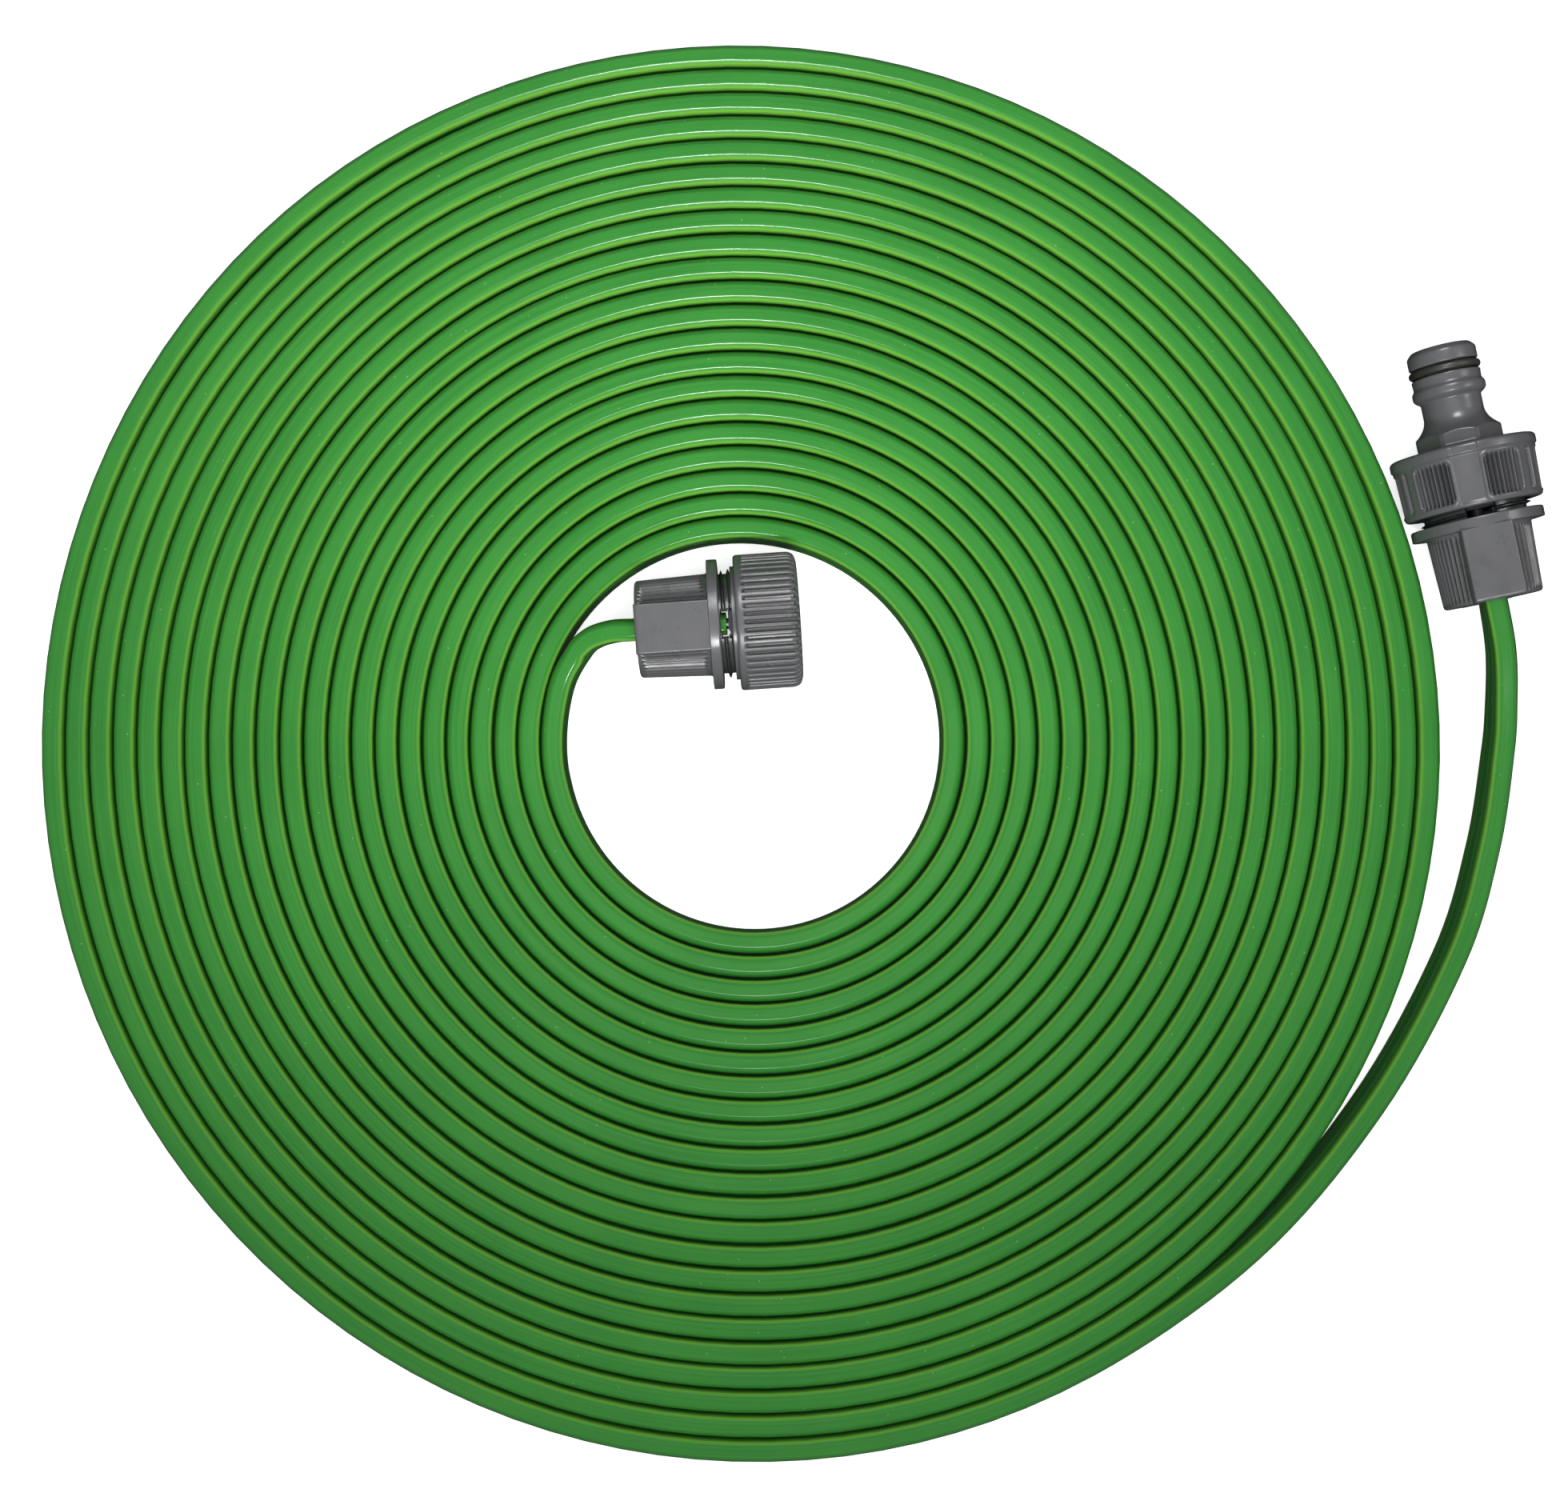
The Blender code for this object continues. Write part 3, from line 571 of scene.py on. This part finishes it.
def hose_mesh(route, twist):
    """The hose swept along its route, with three blind channels in each end."""
    outline = hose_outline()
    shares = [painted_light_share(x, y) for x, y in outline]
    count = len(outline)
    axes = section_axes(route, twist)
    builder = bmesh.new()
    # Painted light on the inner edges, kept as a point attribute.
    painted_light_layer = builder.verts.layers.float.new("painted_light_inner_edge")
    rings = []
    for place, (side, up, _) in zip(route, axes):
        rings.append([builder.verts.new(place + side * x + up * y) for x, y in outline])
        for vertex, share in zip(rings[-1], shares):
            vertex[painted_light_layer] = share
    travelled = [0.0]
    for before, after in zip(route, route[1:]):
        travelled.append(travelled[-1] + (after - before).length)
    layer = builder.loops.layers.uv.new("drawn")
    around = [0.0]
    for start, end in zip(outline, outline[1:] + outline[:1]):
        around.append(around[-1] + math.dist(start, end))
    for row, (low, high) in enumerate(zip(rings, rings[1:])):
        for column in range(count):
            following = (column + 1) % count
            face = builder.faces.new((low[column], high[column], high[following],
                                      low[following]))
            corners = ((row, column), (row + 1, column), (row + 1, column + 1),
                       (row, column + 1))
            for loop, (ring, step) in zip(face.loops, corners):
                loop[layer].uv = (around[step] / DRAWN_WIDTH, travelled[ring] / DRAWN_LENGTH)
    for end, way_in in ((0, 1), (-1, -1)):
        side, up, along = axes[end]
        end_channels(builder, rings[end], route[end], side, up, along * way_in)
    bmesh.ops.recalc_face_normals(builder, faces=builder.faces)
    mesh = bpy.data.meshes.new("hose")
    builder.to_mesh(mesh)
    builder.free()
    return mesh


def end_channels(builder, ring, place, side, up, inward):
    """Closes one end of the hose round its three blind channels."""
    sides = 16
    edges = [builder.edges.get((ring[i - 1], ring[i])) for i in range(len(ring))]
    for number in (-1, 0, 1):
        middle = place + up * number * CHANNEL_SPACING
        circles = []
        for depth in (0.0, SOCKET_DEPTH):
            circle = []
            for i in range(sides):
                angle = 2 * math.pi * i / sides
                spoke = side * math.cos(angle) + up * math.sin(angle)
                circle.append(builder.verts.new(middle + spoke * CHANNEL_RADIUS
                                                + inward * depth))
            circles.append(circle)
        mouth, floor = circles
        for i in range(sides):
            builder.faces.new((mouth[i - 1], mouth[i], floor[i], floor[i - 1]))
            edges.append(builder.edges.get((mouth[i - 1], mouth[i])))
        builder.faces.new(floor)
    bmesh.ops.triangle_fill(builder, use_beauty=True, edges=edges, normal=inward)


# ---------------------------------------------------------------------------- fittings

def tooth(height, foot, tip):
    """How far out a thread stands, 0 to 1, at a height from the tooth's middle."""
    nearest = np.abs((height + THREAD_PITCH / 2) % THREAD_PITCH - THREAD_PITCH / 2)
    return np.clip((foot / 2 - nearest) / (foot / 2 - tip / 2), 0.0, 1.0)


def thread_radius(angle, z, root, crest, foot, tip, start, end):
    """The radius of a right-handed thread that grows and sinks at its two ends."""
    climb = THREAD_DATUM + THREAD_PITCH * (angle % (2 * math.pi)) / (2 * math.pi)
    fade = (smooth_step(start, start + THREAD_RUNOUT, z)
            * (1 - smooth_step(end - THREAD_RUNOUT, end, z)))
    return root + (crest - root) * fade * tooth(z - climb, foot, tip)


def male_thread(angle, z):
    return thread_radius(angle, z, MALE_ROOT, MALE_CREST, TOOTH_FOOT, TOOTH_TIP,
                         FLANGE_END + 0.2 * MM, THREAD_END - 0.3 * MM)


def female_thread(angle, z):
    return thread_radius(angle, z, FEMALE_MINOR, FEMALE_MAJOR, THREAD_PITCH - TOOTH_TIP,
                         THREAD_PITCH - TOOTH_FOOT, FEMALE_START - 1.5 * MM,
                         FEMALE_END + 1.5 * MM)


GRIP_RIBS = 19                       # on each of the grip's two round sides
GRIP_RIB_COLUMNS = 6
GRIP_RIB_DEPTH = 0.45 * MM
SLOT_CLEARANCE = 0.3 * MM            # round the hose, where it goes into the grip
SLOT_BEVEL = 0.4 * MM


def grip_section(radius, reach, rib_depth):
    """One level of the grip: two ribbed round sides and two smooth flat pads."""
    meeting = math.acos(PAD_HALF_WIDTH / radius)
    steps = GRIP_RIBS * GRIP_RIB_COLUMNS
    corners = []
    for turn in (0, 1):
        sign = 1 - 2 * turn
        half = []
        for i in range(steps + 1):
            angle = meeting * (2 * i / steps - 1)
            wave = 0.5 - 0.5 * math.cos(2 * math.pi * i / GRIP_RIB_COLUMNS)
            here = radius - rib_depth * (1 - wave) if 0 < i < steps else radius
            half.append((here * math.cos(angle), here * math.sin(angle)))
        # The round side's last point, four points at each edge of the pad, and the
        # other round side's first point; the stretches between them are filled below.
        pad = rounded([half[-1], (PAD_HALF_WIDTH, reach), (-PAD_HALF_WIDTH, reach),
                       (-half[-1][0], half[-1][1])], 0.45 * MM, 3)
        half += (evenly(pad[0], pad[1], 3) + pad[2:5] + evenly(pad[4], pad[5], 9)
                 + pad[6:9] + evenly(pad[8], pad[9], 3)[:-1])
        corners += [(sign * x, sign * y) for x, y in half]
    return corners


def clamp_body_rows():
    """Grip, flange, thread, bore and slot as one closed ring of rows."""
    grip_rows = rounded([(GRIP_REAR_RADIUS - 2.6 * MM, 0.0), (GRIP_REAR_RADIUS, 0.0),
                         (GRIP_FRONT_RADIUS - 0.05 * MM, GRIP_LENGTH - 0.02 * MM),
                         (GRIP_FRONT_RADIUS + 1.6 * MM, GRIP_LENGTH)], 1.0 * MM, 5)
    reference = np.array(grip_section(GRIP_FRONT_RADIUS, PAD_FRONT_REACH, 0.0))
    angles = np.arctan2(reference[:, 1], reference[:, 0])
    rows = Rows(angles)

    def add_slot(z, grow=0.0):
        half_x = HOSE_THICKNESS / 2 + SLOT_CLEARANCE + grow
        half_y = HOSE_WIDTH / 2 + SLOT_CLEARANCE + grow
        with np.errstate(divide="ignore"):
            radius = np.minimum(half_x / np.abs(rows.cosines), half_y / np.abs(rows.sines))
        rows.add(radius, z)

    add_slot(SLOT_BEVEL)
    add_slot(0.0, SLOT_BEVEL)
    for radius, z in filled(grip_rows, 0.6 * MM):
        share = z / GRIP_LENGTH
        full = GRIP_REAR_RADIUS + (GRIP_FRONT_RADIUS - GRIP_REAR_RADIUS) * share
        inset = max(0.0, full - radius)
        reach = PAD_REAR_REACH + (PAD_FRONT_REACH - PAD_REAR_REACH) * share - inset
        fade = float(smooth_step(0.5 * MM, 1.6 * MM, z)
                     * (1 - smooth_step(GRIP_LENGTH - 1.5 * MM, GRIP_LENGTH - 0.7 * MM, z)))
        rows.add_outline(grip_section(radius, reach, GRIP_RIB_DEPTH * fade), z, radius)
    flange = rounded([(FLANGE_RADIUS - 0.4 * MM, GRIP_LENGTH),
                      (FLANGE_RADIUS, GRIP_LENGTH + 0.02 * MM),
                      (FLANGE_RADIUS, FLANGE_END), (MALE_ROOT, FLANGE_END)], 0.5 * MM, 4)
    for radius, z in flange:
        rows.add(radius, z)
    for z in np.arange(FLANGE_END + 0.1 * MM, THREAD_END - 0.4 * MM, 0.1 * MM):
        rows.add(male_thread(angles, z), z)
    for radius, z in rounded([(MALE_ROOT, THREAD_END - 0.4 * MM), (MALE_ROOT, THREAD_END),
                              (INSERT_BORE, THREAD_END), (INSERT_BORE, INSERT_SEAT)],
                             0.3 * MM, 3):
        rows.add(radius, z)
    add_slot(INSERT_SEAT)
    return rows


def cut(made, low, high):
    """Cuts a block, given in the object's own space, out of it."""
    builder = bmesh.new()
    bmesh.ops.create_cube(builder, size=1.0)
    for vertex in builder.verts:
        vertex.co = Vector([low[i] if vertex.co[i] < 0 else high[i] for i in range(3)])
    mesh = bpy.data.meshes.new("cutter")
    builder.to_mesh(mesh)
    builder.free()
    cutter = bpy.data.objects.new("cutter", mesh)
    bpy.context.scene.collection.objects.link(cutter)
    modifier = made.modifiers.new("cut", "BOOLEAN")
    modifier.operation = "DIFFERENCE"
    modifier.object = cutter
    bpy.context.view_layer.update()
    evaluated = made.evaluated_get(bpy.context.evaluated_depsgraph_get())
    result = bpy.data.meshes.new_from_object(evaluated)
    made.modifiers.clear()
    made.data = result
    bpy.data.objects.remove(cutter)


def place(made, fitting, body):
    """Moves a fitting's mesh from its own axis to the frame, on the body it rides."""
    made.data.transform(fitting)
    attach(made, body)


def clamp_bodies():
    """The same moulding at both ends, with painted shade on its thread, which gets the dark
    plastic, and a window above and below.
    """
    inlet = grid_object("inlet_clamp", clamp_body_rows(), GREY_PLASTIC, GRIP_RIB_DEPTH)
    for near, far in ((-FLANGE_RADIUS, -WINDOW_FLOOR), (WINDOW_FLOOR, FLANGE_RADIUS)):
        cut(inlet, (-WINDOW_HALF_WIDTH, near, WINDOW_START),
            (WINDOW_HALF_WIDTH, far, WINDOW_END))
    # Painted shade: the thread beyond the flange, of the same grey moulding, is coloured as dark
    # plastic.
    inlet.data.materials.append(DARK_PLASTIC_AND_THREAD_SHADE)
    for face in inlet.data.polygons:
        if face.center.z > FLANGE_END + 0.02 * MM:
            face.material_index = 1
    end = bpy.data.objects.new("end_clamp", inlet.data.copy())
    bpy.context.scene.collection.objects.link(end)
    for made, fitting, node in ((inlet, INLET_FRAME, "inlet_clamp_body"),
                                (end, END_FRAME, "end_clamp_body")):
        finish_shading(made, 40)
        place(made, fitting, "hose_and_bodies")
        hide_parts(node)
    return inlet, end


NUT_START = 22.8 * MM
NUT_END = 38.0 * MM
NUT_REAR_RADIUS = 16.4 * MM
NUT_FRONT_RADIUS = 16.9 * MM
NUT_RIM_RADIUS = 17.4 * MM
NUT_RIM_START = 35.3 * MM
NUT_RIM_END = 37.4 * MM
NUT_WALL_RADIUS = 16.6 * MM          # at which widths round the nut are measured
BAND_COUNT = 3                       # two panels and a slot lie between each two bands
BAND_TURN = math.radians(84)         # where one blank band points, from local X
BAND_HALF_WIDTH = 3.2 * MM
BAND_DEPTH = 0.28 * MM
BAND_START = 23.6 * MM
PANEL_MIDDLE = math.radians(30)      # a panel's middle, from its band's
PANEL_HEIGHT = 29.35 * MM            # of the middle of the panels and the slots
PANEL_HALF_WIDTH = 4.7 * MM
PANEL_HALF_LENGTH = 5.05 * MM
PANEL_CORNER = 1.3 * MM
PANEL_RIBS = 8
PANEL_DEPTH = 1.35 * MM
PANEL_LIP = 0.16 * MM
SLOT_HALF_WIDTH = 0.72 * MM
SLOT_HALF_LENGTH = 5.1 * MM
SLOT_CORNER = 0.65 * MM
SLOT_DEPTH = 1.3 * MM
COLLAR_START = 38.2 * MM
COLLAR_FLAT = 10.1 * MM              # half the distance across the collar's flats
COLLAR_CORNER = 10.72 * MM
COLLAR_SIDES = 8
FLARE_START = 41.6 * MM              # where the collar begins to narrow to the neck
FLARE = 3.5 * MM
NECK_START = 47.0 * MM
NECK_RADIUS = 7.2 * MM
NIPPLE_RADIUS = 8.25 * MM
NIPPLE_BEAD_RADIUS = 8.75 * MM
NIPPLE_BORE = 5.5 * MM
NIPPLE_END = 63.2 * MM
RING_GROOVE_RADIUS = 6.6 * MM


def nut_angles():
    """The nut's columns, measured from a band's middle: close together over the ribs."""
    margin = 0.06
    half = PANEL_HALF_WIDTH / NUT_WALL_RADIUS
    panel_start = PANEL_MIDDLE - half - margin
    panel_end = PANEL_MIDDLE + half + margin
    middle = math.pi / BAND_COUNT
    half_sector = []
    for start, end, count in ((0.0, panel_start, 9), (panel_start, panel_end, 84),
                              (panel_end, middle, 9)):
        half_sector += [start + (end - start) * i / count for i in range(count)]
    angles = []
    for sector in range(BAND_COUNT):
        turn = 2 * math.pi * sector / BAND_COUNT
        angles += [turn + a for a in half_sector]
        angles += [turn + 2 * math.pi / BAND_COUNT - a
                   for a in [middle] + half_sector[:0:-1]]
    return np.array(angles)


def nut_relief(angle, z):
    """How much deeper than its plain wall the nut is, at an angle from a band's middle."""
    third = 2 * math.pi / BAND_COUNT
    from_band = np.abs((angle + third / 2) % third - third / 2)
    across = (from_band - PANEL_MIDDLE) * NUT_WALL_RADIUS
    height = z - PANEL_HEIGHT
    panel = rounded_box_distance(across, height, PANEL_HALF_WIDTH, PANEL_HALF_LENGTH,
                                 PANEL_CORNER)
    inside = 1 - smooth_step(-0.32 * MM, 0.08 * MM, panel)
    wave = 0.5 + 0.5 * np.cos(2 * np.pi * (across / PANEL_HALF_WIDTH + 1) * PANEL_RIBS / 2)
    depth = PANEL_DEPTH * inside * (0.05 + 0.95 * wave ** 0.8)
    lip = smooth_step(0.0, 0.22 * MM, panel) * (1 - smooth_step(0.55 * MM, 0.9 * MM, panel))
    from_slot = (third / 2 - from_band) * NUT_WALL_RADIUS
    slot = rounded_box_distance(from_slot, height, SLOT_HALF_WIDTH, SLOT_HALF_LENGTH,
                                SLOT_CORNER)
    depth += SLOT_DEPTH * (1 - smooth_step(-0.3 * MM, 0.1 * MM, slot))
    band = 1 - smooth_step(BAND_HALF_WIDTH - 0.25 * MM, BAND_HALF_WIDTH + 0.1 * MM,
                           from_band * NUT_WALL_RADIUS)
    above = smooth_step(BAND_START, BAND_START + 0.4 * MM, z)
    return depth - PANEL_LIP * lip + BAND_DEPTH * band * above


def octagon(angle):
    """Distance to the collar's flats, with its corners a little rounded."""
    eighth = 2 * math.pi / COLLAR_SIDES
    from_flat = (angle + eighth / 2) % eighth - eighth / 2
    sharp = COLLAR_FLAT / np.cos(from_flat)
    return np.minimum(sharp, COLLAR_CORNER)


def tap_connector_rows():
    """The nut's wall, the collar, the nipple, its bore and the thread, and back round."""
    angles = nut_angles()
    rows = Rows(angles + BAND_TURN)
    wall = rounded([(MOUTH_RADIUS, NUT_START), (NUT_REAR_RADIUS, NUT_START),
                    (NUT_FRONT_RADIUS - 0.05 * MM, NUT_RIM_START),
                    (NUT_RIM_RADIUS, NUT_RIM_START + 0.25 * MM), (NUT_RIM_RADIUS, NUT_RIM_END),
                    (NUT_FRONT_RADIUS, NUT_END), (11.6 * MM, NUT_END + 0.25 * MM)],
                   0.75 * MM, 4)
    # The bands count as plain, so the painted shade of the grooves starts a little deeper than
    # BAND_DEPTH.
    for radius, z in filled(wall, 0.26 * MM):
        outside = smooth_step(15.2 * MM, 16.2 * MM, radius)
        rows.add(radius - nut_relief(angles, z) * outside, z, (radius - 0.3 * MM) * outside)
    for z in np.linspace(COLLAR_START, NECK_START, 40):
        share = np.clip((NECK_START - z) / (NECK_START - FLARE_START), 0.0, 1.7)
        flare = NECK_RADIUS + FLARE * share ** 2.2
        foot = 0.5 * MM * (1 - smooth_step(COLLAR_START, COLLAR_START + 0.8 * MM, z))
        rows.add(np.minimum(octagon(angles) + foot, flare), z)
    nipple = rounded([(NECK_RADIUS, NECK_START), (NECK_RADIUS, 50.3 * MM),
                      (8.15 * MM, 50.9 * MM), (NIPPLE_BEAD_RADIUS, 51.6 * MM),
                      (NIPPLE_BEAD_RADIUS, 53.1 * MM), (8.1 * MM, 54.0 * MM),
                      (NIPPLE_RADIUS, 56.3 * MM), (RING_GROOVE_RADIUS, 56.35 * MM),
                      (RING_GROOVE_RADIUS, 58.85 * MM), (NIPPLE_RADIUS, 58.9 * MM),
                      (NIPPLE_RADIUS, 61.9 * MM), (7.0 * MM, NIPPLE_END),
                      (NIPPLE_BORE, NIPPLE_END), (NIPPLE_BORE, CEILING),
                      (MOUTH_RADIUS, CEILING), (MOUTH_RADIUS, FEMALE_END + 1.6 * MM),
                      (FEMALE_MINOR, FEMALE_END + 1.2 * MM)], 0.42 * MM, 4)
    for radius, z in filled(nipple, 1.2 * MM):
        rows.add(radius, z)
    for radius, z in female_wall(angles + BAND_TURN):
        rows.add(radius, z)
    return rows


def female_wall(angles):
    """A nut's or cap's inner wall, from its thread's far end back to its mouth."""
    heights = np.arange(FEMALE_END + 1.1 * MM, FEMALE_START - 1.2 * MM, -0.14 * MM)
    wall = [(female_thread(angles, z), z) for z in heights]
    wall.append((FEMALE_MINOR, FEMALE_START - 1.3 * MM))
    wall.append((MOUTH_RADIUS, FEMALE_START - 2.0 * MM))
    return wall


def tap_connector():
    made = grid_object("tap_connector_body", tap_connector_rows(), GREY_PLASTIC,
                       0.8 * PANEL_DEPTH)
    finish_shading(made, 66)
    place(made, INLET_FRAME, "connector")
    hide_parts("tap_connector")
    return made


RING_RADIUS = 7.62 * MM              # of the O-ring's middle
RING_HEIGHT = 57.6 * MM
RING_HALF_THICKNESS = 0.98 * MM
RING_HALF_WIDTH = 1.0 * MM


def o_ring():
    """A round ring, pressed a little flat where it sits in its groove."""
    rows = Rows(np.linspace(0, 2 * math.pi, 96, endpoint=False))
    for turn in np.linspace(0, 2 * math.pi, 20, endpoint=False):
        rows.add(RING_RADIUS + RING_HALF_THICKNESS * math.cos(turn),
                 RING_HEIGHT + RING_HALF_WIDTH * math.sin(turn))
    made = grid_object("o_ring", rows, SEAL_RUBBER)
    finish_shading(made, 60)
    place(made, INLET_FRAME, "connector")
    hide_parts("nipple_o_ring")
    return made


CAP_RIBS = 52
CAP_RIB_COLUMNS = 12
CAP_GROOVE_DEPTH = 0.95 * MM
CAP_START = 24.2 * MM
CAP_END = 39.8 * MM
CAP_RADIUS = 16.5 * MM               # over the ribs and the collar
CAP_COLLAR_END = 26.0 * MM
CAP_MIDDLE = 0.4 * MM                # radius at which its two faces close to a point


def end_cap_rows():
    """The cap from the middle of its closed end, over its ribs, to inside its ceiling.

    The grooves run from the collar to the far edge, where they turn over and grow shallow.
    """
    angles = np.linspace(0, 2 * math.pi, CAP_RIBS * CAP_RIB_COLUMNS, endpoint=False)
    rows = Rows(angles)
    wave = 0.5 + 0.5 * np.cos(CAP_RIBS * angles)
    groove = smooth_step(0.22, 0.78, wave)
    outline = rounded([(CAP_MIDDLE, CAP_END), (14.3 * MM, CAP_END - 0.3 * MM),
                       (15.9 * MM, CAP_END - 0.9 * MM), (CAP_RADIUS, 37.6 * MM),
                       (CAP_RADIUS, CAP_START), (MOUTH_RADIUS, CAP_START)], 0.9 * MM, 5)
    for radius, z in filled(outline, 0.3 * MM):
        share = float(smooth_step(CAP_COLLAR_END, CAP_COLLAR_END + 0.4 * MM, z)
                      * smooth_step(14.4 * MM, 15.6 * MM, radius))
        sunk = CAP_GROOVE_DEPTH * groove * share
        over = float(smooth_step(37.2 * MM, 39.2 * MM, z))
        rows.add(radius - sunk * (1 - 0.6 * over), z - 0.5 * over * sunk, radius * share)
    rows.add(MOUTH_RADIUS, FEMALE_START - 2.1 * MM)
    for radius, z in female_wall(angles)[::-1]:
        rows.add(radius, z)
    for radius, z in rounded([(MOUTH_RADIUS, FEMALE_END + 1.6 * MM), (MOUTH_RADIUS, CEILING),
                              (CAP_MIDDLE, CEILING)], 0.5 * MM, 3):
        rows.add(radius, z)
    return rows


def end_cap():
    made = grid_object("end_cap_body", end_cap_rows(), GREY_PLASTIC, CAP_GROOVE_DEPTH,
                       closed=False)
    finish_shading(made, 72)
    place(made, END_FRAME, "cap")
    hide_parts("end_cap")
    return made


def hose():
    """The hose as one piece, swept from the inlet fitting to the end fitting."""
    route, twist = hose_route()
    made = new_object("soaker_hose", hose_mesh(route, twist), GREEN_PVC)
    finish_shading(made, 50)
    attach(made, "hose_and_bodies")
    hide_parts("hose_coil", "hose_inlet_tail", "hose_end_tail")


def carried_over():
    """The inner pieces keep their CAD shape and get their own materials."""
    for node in ("inlet_barbed_insert", "end_barbed_insert"):
        set_material(frame["nodes"][node], DARK_PLASTIC_AND_THREAD_SHADE)
    for node in ("inlet_washer", "end_washer"):
        set_material(frame["nodes"][node], SEAL_RUBBER)


def set_material(node, finish):
    for material_slot in node.material_slots:
        material_slot.material = finish


# ------------------------------------------------------------------- camera and studio

CAMERA_HEIGHT = 550 * MM             # over the coil; it suits a hose HOSE_WIDTH wide
VIEW_WIDTH = 382.2 * MM              # what the picture spans at the height of the coil's top
SENSOR_WIDTH = 36.0


def camera():
    """Above the coil, looking down, tilted by a degree."""
    made = bpy.data.objects.new("camera", bpy.data.cameras.new("camera"))
    bpy.context.scene.collection.objects.link(made)
    made.location = (-6.0 * MM, -9.2 * MM, HOSE_WIDTH + CAMERA_HEIGHT)
    target = Vector((-1.7 * MM, -1.0 * MM, HOSE_WIDTH))
    forward = (target - made.location).normalized()
    right = forward.cross(Vector((0, 1, 0))).normalized()
    above = right.cross(forward)
    made.rotation_mode = "QUATERNION"
    made.rotation_quaternion = Matrix((right, above, -forward)).transposed().to_quaternion()
    made.data.sensor_width = SENSOR_WIDTH
    made.data.lens = SENSOR_WIDTH * CAMERA_HEIGHT / VIEW_WIDTH
    bpy.context.scene.camera = made
    bpy.context.scene.view_settings.view_transform = "Standard"


def area_light(name, location, target, size, power):
    """A rectangle of light aimed at a target; the camera doesn't see it."""
    light = bpy.data.lights.new(name, "AREA")
    light.shape = "RECTANGLE"
    light.size, light.size_y = size
    light.energy = power
    made = bpy.data.objects.new(name, light)
    made.location = location
    direction = Vector(target) - Vector(location)
    made.rotation_mode = "QUATERNION"
    made.rotation_quaternion = direction.to_track_quat("-Z", "Y")
    made.visible_camera = False
    bpy.context.scene.collection.objects.link(made)
    return made


def studio_world():
    """Soft white from above, as much as a pale floor returns from the side, dark below.

    The dark below keeps light from shining up between the turns.  What the camera sees past
    the floor is plain white.
    """
    world = bpy.data.worlds.new("studio")
    world.use_nodes = True
    nodes = world.node_tree.nodes
    links = world.node_tree.links
    split = nodes.new("ShaderNodeSeparateXYZ")
    height = nodes.new("ShaderNodeMapRange")
    height.inputs["From Min"].default_value = -1.0
    ramp = nodes.new("ShaderNodeValToRGB")
    set_stops(ramp, ((0.20, 0.05), (0.32, 0.50), (0.50, 0.60), (0.80, 1.0)))
    lit = nodes["Background"]
    lit.inputs["Strength"].default_value = 0.50
    backdrop = nodes.new("ShaderNodeBackground")
    backdrop.inputs["Color"].default_value = (1, 1, 1, 1)
    choice = nodes.new("ShaderNodeMixShader")
    links.new(nodes.new("ShaderNodeTexCoord").outputs["Generated"], split.inputs[0])
    links.new(split.outputs["Z"], height.inputs["Value"])
    links.new(height.outputs["Result"], ramp.inputs["Fac"])
    links.new(ramp.outputs["Color"], lit.inputs["Color"])
    links.new(nodes.new("ShaderNodeLightPath").outputs["Is Camera Ray"], choice.inputs["Fac"])
    links.new(lit.outputs["Background"], choice.inputs[1])
    links.new(backdrop.outputs["Background"], choice.inputs[2])
    links.new(choice.outputs["Shader"], nodes["World Output"].inputs["Surface"])
    return world


def studio(fittings):
    """A pale floor, soft light on everything and two lights that only the fittings mirror."""
    builder = bmesh.new()
    bmesh.ops.create_grid(builder, x_segments=8, y_segments=8, size=12)
    mesh = bpy.data.meshes.new("floor")
    builder.to_mesh(mesh)
    builder.free()
    floor = new_object("floor", mesh, pale_floor())
    floor.location.z = -0.0002
    floor.visible_diffuse = False
    floor.visible_glossy = False
    bpy.context.scene.world = studio_world()
    soft = area_light("soft_centre", (0, -0.03, 0.45), (0, 0.08, 0), (0.25, 0.25), 1.50)
    soft.visible_glossy = False
    strip = area_light("lower_strip", (0.02, -0.50, 0.80), (0.0, 0.15, 0), (0.45, 0.03), 0.30)
    strip.data.spread = math.radians(26)
    lit = bpy.data.collections.new("lit_fittings")
    for piece in fittings:
        lit.objects.link(piece)
    right = area_light("key_right", (0.66, 0.12, 0.50), (0.1, 0.05, 0), (0.2, 0.2), 1.1)
    upper = area_light("key_upper", (0.05, 0.42, 0.55), (0, 0.05, 0), (0.22, 0.22), 3.4)
    for key in (right, upper):
        key.visible_diffuse = False
        key.light_linking.receiver_collection = lit


camera()
inlet_clamp, end_clamp = clamp_bodies()
cap = end_cap()
fittings = [inlet_clamp, end_clamp, tap_connector(), o_ring(), cap]
carried_over()
hose()
studio(fittings)
